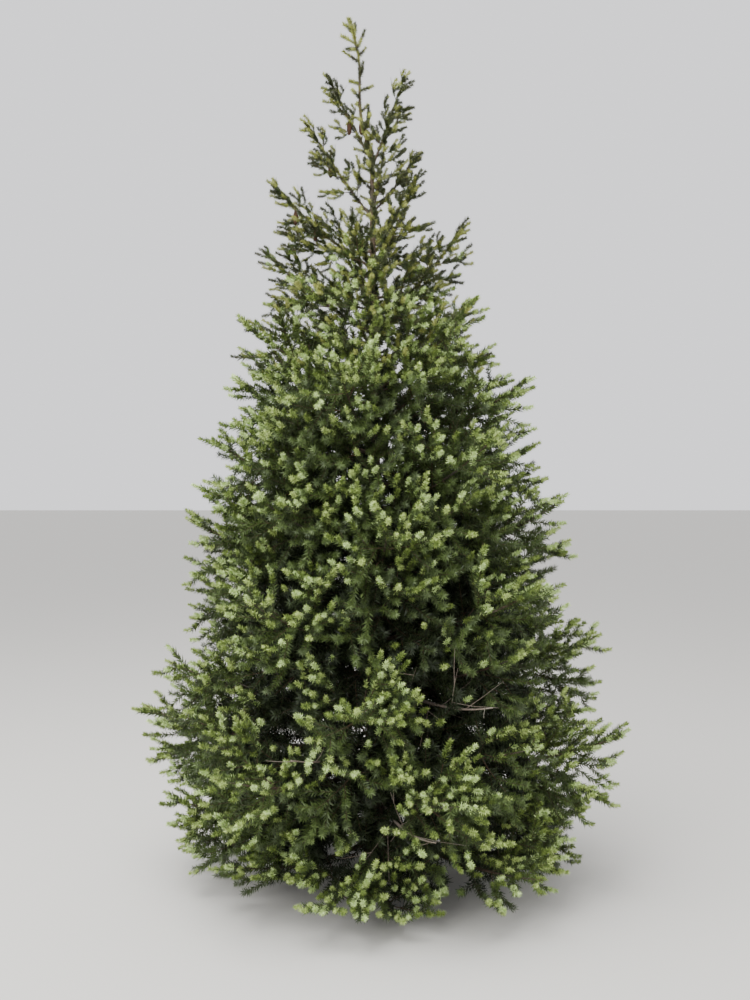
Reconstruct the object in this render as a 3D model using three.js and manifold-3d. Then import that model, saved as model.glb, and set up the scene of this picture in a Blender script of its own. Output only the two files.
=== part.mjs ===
// A young Norway spruce, 3.7 m tall and 2 m wide, rooted in the ground, with its spring shoots out.
// Frame: millimetres, +Z up, +X to the viewer's right, -Y towards the viewer.
// The origin is the middle of the flat cut under the trunk, at ground level.
//
// The trunk runs from the cut to the fork near the top, where the leader and its rivals part.
// The three lowest tiers have bare inner boughs, each ending where its foliage begins. Higher up the
// foliage grows straight from the trunk. A foliage mass is one solid: a stem, and side twigs that branch
// from it by one rule, each widening into a toothed blade that stands for a spray of needles.
import * as THREE from "three";
import { mergeVertices } from "three/addons/utils/BufferGeometryUtils.js";
import Module from "manifold-3d";

const wasm = await Module();
wasm.setup();

// Trunk
const TRUNK_HEIGHT = 3120;
const TRUNK_FOOT_RADIUS = 44;
const TRUNK_TIP_RADIUS = 8;
const TRUNK_LEAN = -14;
const FLARE_WIDTH = 26;
const FLARE_HEIGHT = 90;
const FLARE_LOBES = 5;
const FLARE_LOBE_DEPTH = 0.3;
const TRUNK_SIDES = 15;
const TRUNK_RINGS = 20;

// Leader, from the top of the trunk
const LEADER_HEIGHT = 586;
const LEADER_SUNK = 12;
const LEADER_LEAN = -104;
const LEADER_WAVE = 18;
const LEADER_NUMBER = 99;
const LEADER_SHOOT_SPACING = 62;
const LEADER_SHOOT_LENGTH = 78;
const LEADER_SHOOT_ANGLE = 66;
const LEADER_TOP_FROM = 0.8;
const LEADER_TOP_STEP = 0.03;
const LEADER_TOP_SHOOTS = 3;
const LEADER_TOP_LENGTH = 92;
const LEADER_TOP_ANGLE = 34;
const GOLDEN_ANGLE = 137.5;
const GOLDEN_SCATTER = 12;

// Tiers of boughs, from the ground up. height is where a tier leaves the trunk, and turns are the
// compass angles of its boughs, 0 to the right and 270 towards the viewer. left, right and front give
// the level reach of a bough on that side and how far its tip rises above its root. The back is as the front.
const TIERS = [
  {
    height: 230,
    turns: [186, 256, 316, 10, 108],
    left: { reach: 880, rise: 130 },
    right: { reach: 960, rise: 10 },
    front: { reach: 780, rise: -70 },
  },
  {
    height: 480,
    turns: [176, 232, 290, 346, 70],
    left: { reach: 1020, rise: 240 },
    right: { reach: 1050, rise: 190 },
    front: { reach: 900, rise: 60 },
  },
  {
    height: 760,
    turns: [198, 266, 4, 112],
    left: { reach: 890, rise: 240 },
    right: { reach: 990, rise: 260 },
    front: { reach: 850, rise: 150 },
  },
  {
    height: 1030,
    turns: [166, 234, 320, 58],
    left: { reach: 820, rise: 260 },
    right: { reach: 900, rise: 320 },
    front: { reach: 780, rise: 200 },
  },
  {
    height: 1310,
    turns: [186, 274, 354, 94],
    left: { reach: 800, rise: 260 },
    right: { reach: 800, rise: 300 },
    front: { reach: 700, rise: 250 },
  },
  {
    height: 1570,
    turns: [204, 314, 20, 128],
    left: { reach: 730, rise: 320 },
    right: { reach: 760, rise: 310 },
    front: { reach: 620, rise: 300 },
  },
  {
    height: 1830,
    turns: [170, 254, 346, 72],
    left: { reach: 640, rise: 350 },
    right: { reach: 670, rise: 320 },
    front: { reach: 540, rise: 340 },
  },
  {
    height: 2090,
    turns: [194, 322, 74],
    left: { reach: 590, rise: 300 },
    right: { reach: 560, rise: 320 },
    front: { reach: 460, rise: 380 },
  },
  {
    height: 2340,
    turns: [160, 258, 2],
    left: { reach: 560, rise: 410 },
    right: { reach: 410, rise: 470 },
    front: { reach: 400, rise: 420 },
  },
  {
    height: 2600,
    turns: [186, 308, 68],
    left: { reach: 450, rise: 370 },
    right: { reach: 330, rise: 400 },
    front: { reach: 300, rise: 380 },
  },
  {
    height: 2840,
    turns: [178, 288, 32],
    left: { reach: 300, rise: 440 },
    right: { reach: 260, rise: 300 },
    front: { reach: 220, rise: 360 },
  },
  {
    height: 3070,
    turns: [190, 6],
    left: { reach: 200, rise: 370 },
    right: { reach: 150, rise: 430 },
    front: { reach: 150, rise: 400 },
  },
];
const BARE_TIERS = 3;
const BARE_SHARE = 0.3;
const HEIGHT_SCATTER = 22;
const NUMBERS_PER_TIER = 8;

// Boughs
const BOUGH_RADIUS_SHARE = 0.0145;
const BOUGH_RADIUS_LEAST = 5;
const BOUGH_TIP_SHARE = 0.25;
const BOUGH_SAG = 0.28;
const BOUGH_BOW = 0.05;
const BOUGH_SIDES = 6;
const BOUGH_RINGS = 2;

// Foliage
const STEM_SIDES = 4;
const STEM_RINGS = 3;
const STEM_TIP_RADIUS = 5;
const TWIG_RADIUS = 3.4;
const TWIG_FIRST_SHARE = 0.16;
const TWIG_SPACING = 119;
const TWIGS_LEAST = 3;
const TWIG_ANGLE = 52;
const TWIG_ANGLE_SCATTER = 6;
const TWIG_RISE = 48;
const TWIG_DROP = 34;
const TWIG_ROLL_SCATTER = 14;
const TWIG_LENGTH_SHARE = 0.52;
const TWIG_LENGTH_LEAST = 150;
const TWIG_LENGTH_MOST = 430;
const SHORTER = [1, 0.82, 0.66, 0.5];
const NEEDLES_LENGTH_LOW = 380;
const NEEDLES_LENGTH_TOP = 120;
const NEEDLES_FULL_REACH = 900;
const END_SHARE = 0.3;
const NEEDLE_SHARE = 0.86;
const SPRAY_THICKNESS = 0.07;
const SPRAY_ROLL = 45;
const SPRAY_ROLL_SCATTER = 16;
const SPRAY_SUNK = 30;
const SPACE_MARGIN = 5;
const LIMB_MARGIN = 7;
const GROUND_CLEARANCE = 14;
const ROUTE_STEPS = 12;
const ROOT_ZONE = 20;
const JOINT_GAP = 0.3;

// One side of a spray's outline, as shares of its length from where its needles begin: along and aside.
// A long spray has three shoots on each side and one at its tip, a short one has two and one.
const LONG_SIDE = [
  [0, 0.016],
  [0.25, 0.26],
  [0.44, 0.1],
  [0.52, 0.28],
  [0.57, 0.08],
  [0.8, 0.21],
  [0.82, 0.06],
];
const SHORT_SIDE = [
  [0, 0.02],
  [0.36, 0.31],
  [0.48, 0.09],
  [0.73, 0.26],
  [0.76, 0.07],
];
const SHOOT_SIDE = [
  [0, 0.05],
  [0.5, 0.11],
];
const LONG_SPRAY = 210;
const SPRAY_MIDDLE = 0.5;

// Cones hang from the highest masses. Each is a spindle fused to the stem it hangs from, at these
// shares of the stem.
const CONES = { "10a": [0.55, 0.74], "10c": [0.6], "11a": [0.6], "12a": [0.5], leader: [0.12, 0.26] };
const CONE_LENGTH = 62;
const CONE_RADIUS = 11;
const CONE_SUNK = 5;
const CONE_SIDES = 6;
const CONE_PROFILE = [
  [0, 0],
  [0.95, 0.28],
  [0.8, 0.74],
  [0, 1],
];

// Finishes
const BARK_COLOUR = 0x6b5d50;
const BARK_ROUGHNESS = 0.9;
const FOLIAGE_COLOURS = [0x4c5a34, 0x55643a, 0x5f6f41];
const FOLIAGE_ROUGHNESS = 0.8;

const UP = new THREE.Vector3(0, 0, 1);
const DEGREE = Math.PI / 180;
const UPRIGHT = 0.95;
const WELD = 1e-3;
const NOISE_FIRST = 127.1;
const NOISE_SECOND = 311.7;
const NOISE_SCALE = 43758.5453;

// Repeatable variation between -1 and 1, from a limb's number and a running number on it.
function scatter(limb, index) {
  const wave = Math.sin(limb * NOISE_FIRST + index * NOISE_SECOND) * NOISE_SCALE;
  return 2 * (wave - Math.floor(wave)) - 1;
}

// The trunk's middle line, which strays a little to the left towards the top.
class TrunkLine extends THREE.Curve {
  getPoint(t, target = new THREE.Vector3()) {
    return target.set(TRUNK_LEAN * t ** 3, 0, TRUNK_HEIGHT * t);
  }
}

// The leader's middle line, which leans to the left with one wave in it.
class LeaderLine extends THREE.Curve {
  getPoint(t, target = new THREE.Vector3()) {
    const wave = LEADER_WAVE * Math.sin(2 * Math.PI * t);
    return target.set(
      TRUNK_LEAN + LEADER_LEAN * t - wave,
      0,
      TRUNK_HEIGHT - LEADER_SUNK + LEADER_HEIGHT * t,
    );
  }
}

// A bough's middle line, from the trunk's own middle. It sags on its way and turns up at its tip.
class BoughLine extends THREE.Curve {
  constructor(root, turn, reach, rise, bow) {
    super();
    Object.assign(this, { root, turn, reach, rise, bow });
  }

  getPoint(t, target = new THREE.Vector3()) {
    const out = this.reach * t;
    const aside = this.reach * this.bow * Math.sin(Math.PI * t);
    const sag = BOUGH_SAG * this.reach * t * (1 - t);
    const [c, s] = [Math.cos(this.turn), Math.sin(this.turn)];
    return target.set(
      this.root.x + out * c - aside * s,
      this.root.y + out * s + aside * c,
      this.root.z + this.rise * t - sag,
    );
  }
}

// The trunk's radius above its root flare.
function trunkRadius(height) {
  const share = Math.min(1, Math.max(0, height / TRUNK_HEIGHT));
  return TRUNK_FOOT_RADIUS + (TRUNK_TIP_RADIUS - TRUNK_FOOT_RADIUS) * share;
}

// A tier's reach or rise for one compass turn, blended between its side and its front.
function sideValue(tier, turn, key) {
  const level = Math.cos(turn) ** 2;
  const side = Math.cos(turn) < 0 ? tier.left : tier.right;
  return side[key] * level + tier.front[key] * (1 - level);
}

// Every bough of the tree, in tiers from the ground up.
function planBoughs(trunkLine) {
  return TIERS.flatMap((tier, tierIndex) =>
    tier.turns.map((degrees, index) => {
      const number = tierIndex * NUMBERS_PER_TIER + index;
      const turn = degrees * DEGREE;
      const reach = sideValue(tier, turn, "reach");
      const height = tier.height + HEIGHT_SCATTER * scatter(number, 1);
      const root = trunkLine.getPoint(height / TRUNK_HEIGHT);
      const bow = BOUGH_BOW * scatter(number, 2);
      const line = new BoughLine(root, turn, reach, sideValue(tier, turn, "rise"), bow);
      const fullness = Math.min(1, reach / NEEDLES_FULL_REACH);
      const length = line.getLength();
      return {
        number,
        line,
        length,
        label: `${tierIndex + 1}${"abcde"[index]}`,
        radius: Math.max(BOUGH_RADIUS_LEAST, BOUGH_RADIUS_SHARE * reach),
        from: tierIndex < BARE_TIERS ? BARE_SHARE : 0,
        needles: NEEDLES_LENGTH_TOP + (NEEDLES_LENGTH_LOW - NEEDLES_LENGTH_TOP) * fullness,
        endNeedles: END_SHARE * length,
      };
    }),
  );
}

function boughRadius(bough, t) {
  return bough.radius * (1 - (1 - BOUGH_TIP_SHARE) * t);
}

// A closed three.js geometry as a solid that can be joined and cut.
function solidOf(geometry) {
  geometry.deleteAttribute("normal");
  geometry.deleteAttribute("uv");
  const merged = mergeVertices(geometry, WELD);
  return new wasm.Manifold(
    new wasm.Mesh({
      numProp: 3,
      vertProperties: merged.attributes.position.array,
      triVerts: new Uint32Array(merged.index.array),
    }),
  );
}

// Three unit axes at a point of a line: its tangent, a level side, and the direction above it.
function axesAt(line, t) {
  const tangent = line.getTangent(t);
  const guide = Math.abs(tangent.z) > UPRIGHT ? new THREE.Vector3(0, 1, 0) : UP;
  const side = new THREE.Vector3().crossVectors(guide, tangent).normalize();
  const above = new THREE.Vector3().crossVectors(tangent, side);
  return { tangent, side, above };
}

// A cylinder bent along a line from one share of it to another, tapering evenly.
function limbSolid(line, from, to, firstRadius, lastRadius, sides, rings) {
  const geometry = new THREE.CylinderGeometry(1, 1, 1, sides, rings);
  const place = geometry.attributes.position;
  for (let i = 0; i < place.count; i++) {
    const share = place.getY(i) + 0.5;
    const t = from + (to - from) * share;
    const radius = firstRadius + (lastRadius - firstRadius) * share;
    const { side, above } = axesAt(line, t);
    const point = line
      .getPoint(t)
      .addScaledVector(above, radius * place.getX(i))
      .addScaledVector(side, radius * place.getZ(i));
    place.setXYZ(i, point.x, point.y, point.z);
  }
  return solidOf(geometry);
}

// The trunk with its lobed root flare, grown by a clearance where other pieces are to be cut clear of it.
// Its rings lie closer together towards the foot.
function trunkSolid(line, clearance) {
  const geometry = new THREE.CylinderGeometry(1, 1, 1, TRUNK_SIDES, TRUNK_RINGS);
  const place = geometry.attributes.position;
  for (let i = 0; i < place.count; i++) {
    const share = (place.getY(i) + 0.5) ** 2;
    const middle = line.getPoint(share);
    const angle = Math.atan2(place.getX(i), place.getZ(i));
    const lobe = 1 + FLARE_LOBE_DEPTH * Math.cos(FLARE_LOBES * angle);
    const flare = FLARE_WIDTH * lobe * Math.exp(-middle.z / FLARE_HEIGHT);
    const radius = trunkRadius(middle.z) + flare + clearance;
    const height = middle.z + clearance * share;
    place.setXYZ(i, middle.x + radius * place.getZ(i), middle.y + radius * place.getX(i), height);
  }
  return solidOf(geometry);
}

// A closed blade: a level outline, and on each of its faces a ridge of two ends. nearest gives, for each
// point of the outline, the ridge end that its faces run to.
function ridgedSolid(outline, nearest, above, below) {
  const count = outline.length;
  const faces = [];
  for (let i = 0; i < count; i++) {
    const next = (i + 1) % count;
    const [here, there] = [nearest[i], nearest[next]];
    faces.push(i, next, count + there, next, i, count + 2 + there);
    if (here !== there) {
      faces.push(i, count + there, count + here, i, count + 2 + here, count + 2 + there);
    }
  }
  const geometry = new THREE.BufferGeometry().setFromPoints([...outline, ...above, ...below]);
  geometry.setIndex(faces);
  return solidOf(geometry);
}

// A straight twig that widens into a spray of needles, as one toothed blade with a ridge on its upper
// face and a flat lower one. Its shoots are the teeth.
class Spray {
  constructor(root, direction, across, length, needles, side) {
    Object.assign(this, { root, direction, across, length });
    this.needles = Math.min(needles, NEEDLE_SHARE * length);
    this.side = side ?? (this.needles > LONG_SPRAY ? LONG_SIDE : SHORT_SIDE);
    this.wood = length - this.needles;
    this.middle = this.wood + SPRAY_MIDDLE * this.needles;
    this.lift = SPRAY_THICKNESS * this.needles;
    this.normal = new THREE.Vector3().crossVectors(direction, across);
  }

  at(along, aside, lift) {
    return this.root
      .clone()
      .addScaledVector(this.direction, along)
      .addScaledVector(this.across, aside)
      .addScaledVector(this.normal, lift);
  }

  outline() {
    const side = this.side.map(([along, aside]) => [this.wood + along * this.needles, aside * this.needles]);
    return [
      this.at(this.length, 0, 0),
      ...[...side].reverse().map(([along, aside]) => this.at(along, aside, 0)),
      this.at(0, TWIG_RADIUS, 0),
      this.at(0, -TWIG_RADIUS, 0),
      ...side.map(([along, aside]) => this.at(along, -aside, 0)),
    ];
  }

  // The points that are held to the mass's space. The root lies in the limb that carries it.
  points() {
    const clear = this.outline().filter((point) => point.distanceTo(this.root) > ROOT_ZONE);
    return [this.at(this.wood / 2, 0, 0), this.at(this.middle, 0, this.lift), ...clear];
  }

  solid() {
    const side = this.side.map(() => 1);
    side[0] = 0;
    const nearest = [1, ...[...side].reverse(), 0, 0, ...side];
    return ridgedSolid(
      this.outline(),
      nearest,
      [this.at(0, 0, TWIG_RADIUS), this.at(this.middle, 0, this.lift)],
      [this.at(0, 0, 0), this.at(this.middle, 0, 0)],
    );
  }
}

// A direction that leaves one axis by an angle, towards a side that is itself rolled about that axis.
function leaning(axes, hand, angle, roll) {
  const outward = axes.side
    .clone()
    .multiplyScalar(hand * Math.cos(roll))
    .addScaledVector(axes.above, Math.sin(roll));
  const direction = axes.tangent
    .clone()
    .multiplyScalar(Math.cos(angle))
    .addScaledVector(outward, Math.sin(angle));
  const across = outward
    .multiplyScalar(Math.cos(angle))
    .addScaledVector(axes.tangent, -Math.sin(angle));
  const above = new THREE.Vector3().crossVectors(direction, across);
  return { direction, across, above };
}

// The direction across a spray, turned half way from level to upright so that it shows from every side.
function rolledAcross(direction, number, index) {
  const hand = index % 2 === 0 ? 1 : -1;
  const roll = hand * SPRAY_ROLL + SPRAY_ROLL_SCATTER * scatter(number, 50 + index);
  const level = new THREE.Vector3().crossVectors(UP, direction).normalize();
  return level.applyAxisAngle(direction, roll * DEGREE);
}

// The spaces that the masses keep to. A point belongs to the limb whose middle line is nearest.
class Spaces {
  constructor(limbs, trunkLine) {
    this.trunkLine = trunkLine;
    this.routes = limbs.map(({ line }) => line.getPoints(ROUTE_STEPS));
  }

  distance(route, point) {
    let least = Infinity;
    for (let i = 1; i < route.length; i++) {
      const segment = new THREE.Line3(route[i - 1], route[i]);
      const near = segment.closestPointToPoint(point, true, new THREE.Vector3());
      least = Math.min(least, near.distanceTo(point));
    }
    return least;
  }

  holds(owner, point) {
    if (point.z < GROUND_CLEARANCE) {
      return false;
    }
    const middle = this.trunkLine.getPoint(Math.min(1, point.z / TRUNK_HEIGHT));
    if (middle.distanceTo(point) < trunkRadius(point.z) + LIMB_MARGIN) {
      return false;
    }
    const own = this.distance(this.routes[owner], point) + 2 * SPACE_MARGIN;
    return this.routes.every((route, index) => index === owner || this.distance(route, point) > own);
  }
}

// The longest form of a twig that keeps to its mass's space, or nothing where none does.
function fittedTwig(spaces, owner, build, length) {
  return SHORTER.map((share) => build(share * length)).find((twig) =>
    twig.points().every((point) => spaces.holds(owner, point)),
  );
}

// The side twigs of one bough, shorter towards its tip. They leave it to the left and the right in turn,
// two above it and then two below.
function planTwigs(bough, owner, spaces) {
  const { line, number, needles } = bough;
  const from = Math.max(bough.from, TWIG_FIRST_SHARE);
  const to = 1 - bough.endNeedles / bough.length;
  const count = Math.max(TWIGS_LEAST, Math.round(((1 - from) * bough.length) / TWIG_SPACING));
  const twigs = [];
  for (let index = 0; index < count; index++) {
    const t = from + ((to - from) * (index + 0.5)) / count;
    const hand = index % 2 === 0 ? 1 : -1;
    const angle = (TWIG_ANGLE + TWIG_ANGLE_SCATTER * scatter(number, 10 + index)) * DEGREE;
    const lift = index % 4 < 2 ? TWIG_RISE : -TWIG_DROP;
    const roll = (lift + TWIG_ROLL_SCATTER * scatter(number, 30 + index)) * DEGREE;
    const left = (1 - t) * bough.length;
    const wished = Math.min(TWIG_LENGTH_MOST, TWIG_LENGTH_LEAST + TWIG_LENGTH_SHARE * left);
    const way = leaning(axesAt(line, t), hand, angle, roll);
    const across = rolledAcross(way.direction, number, index);
    const build = (length) => new Spray(line.getPoint(t), way.direction, across, length, needles);
    const twig = fittedTwig(spaces, owner, build, wished);
    if (twig) {
      twigs.push(twig);
    }
  }
  return twigs;
}

// The leader's short shoots: a spiral of them up its length and a few round its tip.
function planLeaderShoots(line, number, owner, spaces) {
  const spiral = Math.floor((LEADER_TOP_FROM * LEADER_HEIGHT) / LEADER_SHOOT_SPACING);
  const shoots = [];
  for (let index = 0; index < spiral + LEADER_TOP_SHOOTS; index++) {
    const top = index >= spiral;
    const t = top
      ? LEADER_TOP_FROM + LEADER_TOP_STEP * (index - spiral)
      : ((index + 1) * LEADER_SHOOT_SPACING) / LEADER_HEIGHT;
    const angle = (top ? LEADER_TOP_ANGLE : LEADER_SHOOT_ANGLE) * DEGREE;
    const roll = (index * GOLDEN_ANGLE + GOLDEN_SCATTER * scatter(number, index)) * DEGREE;
    const way = leaning(axesAt(line, t), 1, angle, roll);
    const wished = top ? LEADER_TOP_LENGTH : LEADER_SHOOT_LENGTH;
    const root = line.getPoint(t);
    const build = (length) => new Spray(root, way.direction, way.across, length, length, SHOOT_SIDE);
    const shoot = fittedTwig(spaces, owner, build, wished);
    if (shoot) {
      shoots.push(shoot);
    }
  }
  return shoots;
}

// A cone that hangs straight down from a point on a stem.
function coneSolid(root) {
  const profile = CONE_PROFILE.map(
    ([across, down]) => new THREE.Vector2(CONE_RADIUS * across, -CONE_LENGTH * down),
  );
  const geometry = new THREE.LatheGeometry(profile.reverse(), CONE_SIDES);
  geometry.rotateX(90 * DEGREE);
  geometry.translate(root.x, root.y, root.z + CONE_SUNK);
  return solidOf(geometry);
}

// One foliage mass: its stem, twigs, end blade and cones joined, then cut clear of the trunk.
function foliageSolid(bough, twigs, cutter) {
  const { line, label, length, from, endNeedles } = bough;
  const start = from + (from > 0 ? JOINT_GAP / length : 0);
  const end = 1 - endNeedles / length;
  const root = line.getPoint(end - SPRAY_SUNK / length);
  const reach = line.getPoint(1).sub(root);
  const direction = reach.clone().normalize();
  const across = rolledAcross(direction, bough.number, 0);
  const tip = new Spray(root, direction, across, reach.length(), endNeedles);
  const startRadius = boughRadius(bough, start);
  const endRadius = Math.max(STEM_TIP_RADIUS, boughRadius(bough, end));
  const stem = limbSolid(line, start, end, startRadius, endRadius, STEM_SIDES, STEM_RINGS);
  const cones = (CONES[label] ?? []).map((share) => coneSolid(line.getPoint(share)));
  const parts = [stem, tip.solid(), ...twigs.map((twig) => twig.solid()), ...cones];
  return wasm.Manifold.union(parts).subtract(cutter);
}

// A node from a finished solid. A loose scrap that a cut leaves is dropped.
function node(name, solid, colour, roughness) {
  const largest = solid.decompose().sort((a, b) => b.volume() - a.volume())[0];
  const mesh = largest.getMesh();
  const geometry = new THREE.BufferGeometry();
  geometry.setAttribute("position", new THREE.BufferAttribute(new Float32Array(mesh.vertProperties), 3));
  geometry.setIndex(new THREE.BufferAttribute(new Uint32Array(mesh.triVerts), 1));
  geometry.computeVertexNormals();
  const material = new THREE.MeshStandardMaterial({ color: colour, roughness, metalness: 0 });
  const result = new THREE.Mesh(geometry, material);
  result.name = name;
  return result;
}

function buildTree() {
  const trunkLine = new TrunkLine();
  const boughs = planBoughs(trunkLine);
  const leaderLine = new LeaderLine();
  const leader = {
    number: LEADER_NUMBER,
    line: leaderLine,
    label: "leader",
    length: leaderLine.getLength(),
    radius: TRUNK_TIP_RADIUS,
    from: 0,
    endNeedles: LEADER_TOP_LENGTH,
  };
  const spaces = new Spaces([...boughs, leader], trunkLine);
  const cutter = trunkSolid(trunkLine, JOINT_GAP);
  const tree = new THREE.Group();
  tree.add(node("trunk", trunkSolid(trunkLine, 0), BARK_COLOUR, BARK_ROUGHNESS));
  boughs.forEach((bough, owner) => {
    if (bough.from > 0) {
      const endRadius = boughRadius(bough, bough.from);
      const solid = limbSolid(bough.line, 0, bough.from, bough.radius, endRadius, BOUGH_SIDES, BOUGH_RINGS);
      tree.add(node(`bough_${bough.label}`, solid.subtract(cutter), BARK_COLOUR, BARK_ROUGHNESS));
    }
    const foliage = foliageSolid(bough, planTwigs(bough, owner, spaces), cutter);
    const colour = FOLIAGE_COLOURS[bough.number % FOLIAGE_COLOURS.length];
    tree.add(node(`foliage_${bough.label}`, foliage, colour, FOLIAGE_ROUGHNESS));
  });
  const shoots = planLeaderShoots(leaderLine, leader.number, boughs.length, spaces);
  const top = foliageSolid(leader, shoots, cutter);
  tree.add(node("foliage_leader", top, FOLIAGE_COLOURS.at(-1), FOLIAGE_ROUGHNESS));
  return tree;
}

export default buildTree();
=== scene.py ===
"""The finished look of a young Norway spruce, 3.7 m tall and 2 m wide, with its spring shoots out.

Metres, +Z up, +X to the viewer's right and -Y towards the viewer. The origin is the middle of the flat cut
under the trunk. The trunk, boughs and twigs follow the same rule as the solids that they replace, and go on
from there to finer twigs within the same reach. Each twig carries brushes of needles: dark ones on its older
wood and pale ones on this spring's shoots.
"""

import sys
import logging
import math
from bisect import bisect
from collections import defaultdict
from collections.abc import Callable, Iterable, Mapping
from dataclasses import dataclass, field
from enum import Enum, IntEnum
from typing import NamedTuple

import bpy
import numpy as np
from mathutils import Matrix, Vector, noise


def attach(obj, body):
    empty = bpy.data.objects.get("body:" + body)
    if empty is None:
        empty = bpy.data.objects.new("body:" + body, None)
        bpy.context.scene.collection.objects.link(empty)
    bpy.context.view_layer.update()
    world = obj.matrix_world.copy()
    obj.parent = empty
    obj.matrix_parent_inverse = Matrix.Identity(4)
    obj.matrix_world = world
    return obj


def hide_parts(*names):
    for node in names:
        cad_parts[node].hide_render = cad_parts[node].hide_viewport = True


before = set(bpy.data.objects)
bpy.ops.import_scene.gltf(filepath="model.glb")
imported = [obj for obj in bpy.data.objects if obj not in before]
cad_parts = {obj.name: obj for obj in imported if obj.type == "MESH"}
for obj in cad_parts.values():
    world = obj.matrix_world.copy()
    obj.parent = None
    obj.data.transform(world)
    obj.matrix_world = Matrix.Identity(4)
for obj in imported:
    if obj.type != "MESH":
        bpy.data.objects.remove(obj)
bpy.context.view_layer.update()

LOG = logging.getLogger("spruce")
BODY = "root"
UP = np.array((0.0, 0.0, 1.0))
GOLDEN_ANGLE = math.radians(137.5)
FULL_TURN = 360.0
HALF_WAY = 0.5
# A unit direction whose z part is beyond this counts as upright.
UPRIGHT = 0.95
OUTWARD_RISE = 0.35

# The solids' rule for seeded variations has the same numbers.
LIMB_STRIDE = 127.1
INDEX_STRIDE = 311.7
SCATTER_STRETCH = 43758.5453


class Draw(IntEnum):
    """What a seeded variation is for. Those from 10 on are the first of a run, one for each twig or shoot."""

    REACH = 0
    HEIGHT = 1
    BOW = 2
    TURN = 3
    BRUSH_WIDTH = 4
    TINT = 5
    TOP = 6
    SPRAY = 7
    CONE = 8
    BRUSH_ROLL = 9
    ANGLE = 10
    ROLL = 30
    PLANE = 50
    SHOOT_ANGLE = 60
    SHOOT_ROLL = 70
    SHOOT_LENGTH = 80


def scatter(limb: int, index: int) -> float:
    """Give a repeatable variation between -1 and 1.

    Args:
        limb: The number of the limb that it belongs to.
        index: A running number on that limb.

    Returns:
        The variation, the same on every run.
    """
    wave = math.sin(limb * LIMB_STRIDE + index * INDEX_STRIDE) * SCATTER_STRETCH
    return 2 * (wave - math.floor(wave)) - 1


def unit(vector: np.ndarray) -> np.ndarray:
    """Return a vector with its length made one."""
    return vector / math.sqrt(float(vector @ vector))


def cross(a: np.ndarray, b: np.ndarray) -> np.ndarray:
    """Return the cross product of two single vectors."""
    return np.array((a[1] * b[2] - a[2] * b[1], a[2] * b[0] - a[0] * b[2], a[0] * b[1] - a[1] * b[0]))


def turned(vector: np.ndarray, axis: np.ndarray, angle: float) -> np.ndarray:
    """Return a vector turned by an angle in radians about a unit axis that is at right angles to it."""
    return vector * math.cos(angle) + cross(axis, vector) * math.sin(angle)


def outwards(point: np.ndarray) -> np.ndarray:
    """Return the unit direction that leads away from the trunk, and a little up, at a point."""
    away = math.hypot(point[0], point[1]) or 1.0
    return unit(np.array((point[0] / away, point[1] / away, OUTWARD_RISE)))


@dataclass(frozen=True)
class Axes:
    """Three unit axes at a point of a limb: along it, level across it, and above it."""

    tangent: np.ndarray
    side: np.ndarray
    above: np.ndarray

    @classmethod
    def along(cls, tangent: np.ndarray) -> "Axes":
        """Make the axes of a limb.

        Args:
            tangent: The unit direction that the limb runs in.

        Returns:
            The axes.
        """
        guide = np.array((0.0, 1.0, 0.0)) if abs(tangent[2]) > UPRIGHT else UP
        side = unit(cross(guide, tangent))
        return cls(tangent, side, cross(tangent, side))

    def rolled(self, angle: float) -> "Axes":
        """Return the axes rolled about the tangent by an angle in radians."""
        side = turned(self.side, self.tangent, angle)
        return Axes(self.tangent, side, cross(self.tangent, side))

    def leaning(self, hand: int, angle: float, roll: float) -> np.ndarray:
        """Give a direction that leaves the tangent towards a rolled side.

        Args:
            hand: 1 or -1, the side that it leaves on.
            angle: The angle from the tangent, in radians.
            roll: How far that side is rolled upwards, in radians.

        Returns:
            The unit direction.
        """
        outward = self.side * (hand * math.cos(roll)) + self.above * math.sin(roll)
        return self.tangent * math.cos(angle) + outward * math.sin(angle)


@dataclass(frozen=True)
class Change:
    """A value that changes evenly between two heights, and keeps its ends below and above them."""

    heights: tuple[float, float]
    values: tuple[float, float]

    def at(self, height: float) -> float:
        """Return the value at a height."""
        return float(np.interp(height, self.heights, self.values))


# Towards the top twigs are shorter, needles stand out less, and the lighter tint of last year's needles,
# partly painted light, reaches further in.
TWIG_SIZE = Change((1.9, 2.9), (1.0, 0.5))
NEEDLE_VIGOUR = Change((2.1, 3.3), (1.0, 0.4))
LIT_LAST_YEAR_FROM = Change((1.2, 2.1), (0.7, 0.3))


@dataclass(frozen=True)
class TwigForm:
    """How a kind of twig bends and how thick it is. Sag and pull are shares of its length."""

    sag: float
    pull: float
    radius: float
    thickening: float
    tip_radius: float
    marks: int


SIDE_TWIG = TwigForm(sag=0.03, pull=0.12, radius=0.0014, thickening=0.0045, tip_radius=0.0008, marks=6)
FINE_TWIG = TwigForm(sag=0.02, pull=0.1, radius=0.0011, thickening=0.0045, tip_radius=0.0007, marks=3)
STEM_TWIG = TwigForm(sag=0.0, pull=0.12, radius=0.0022, thickening=0.0, tip_radius=0.001, marks=4)


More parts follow.
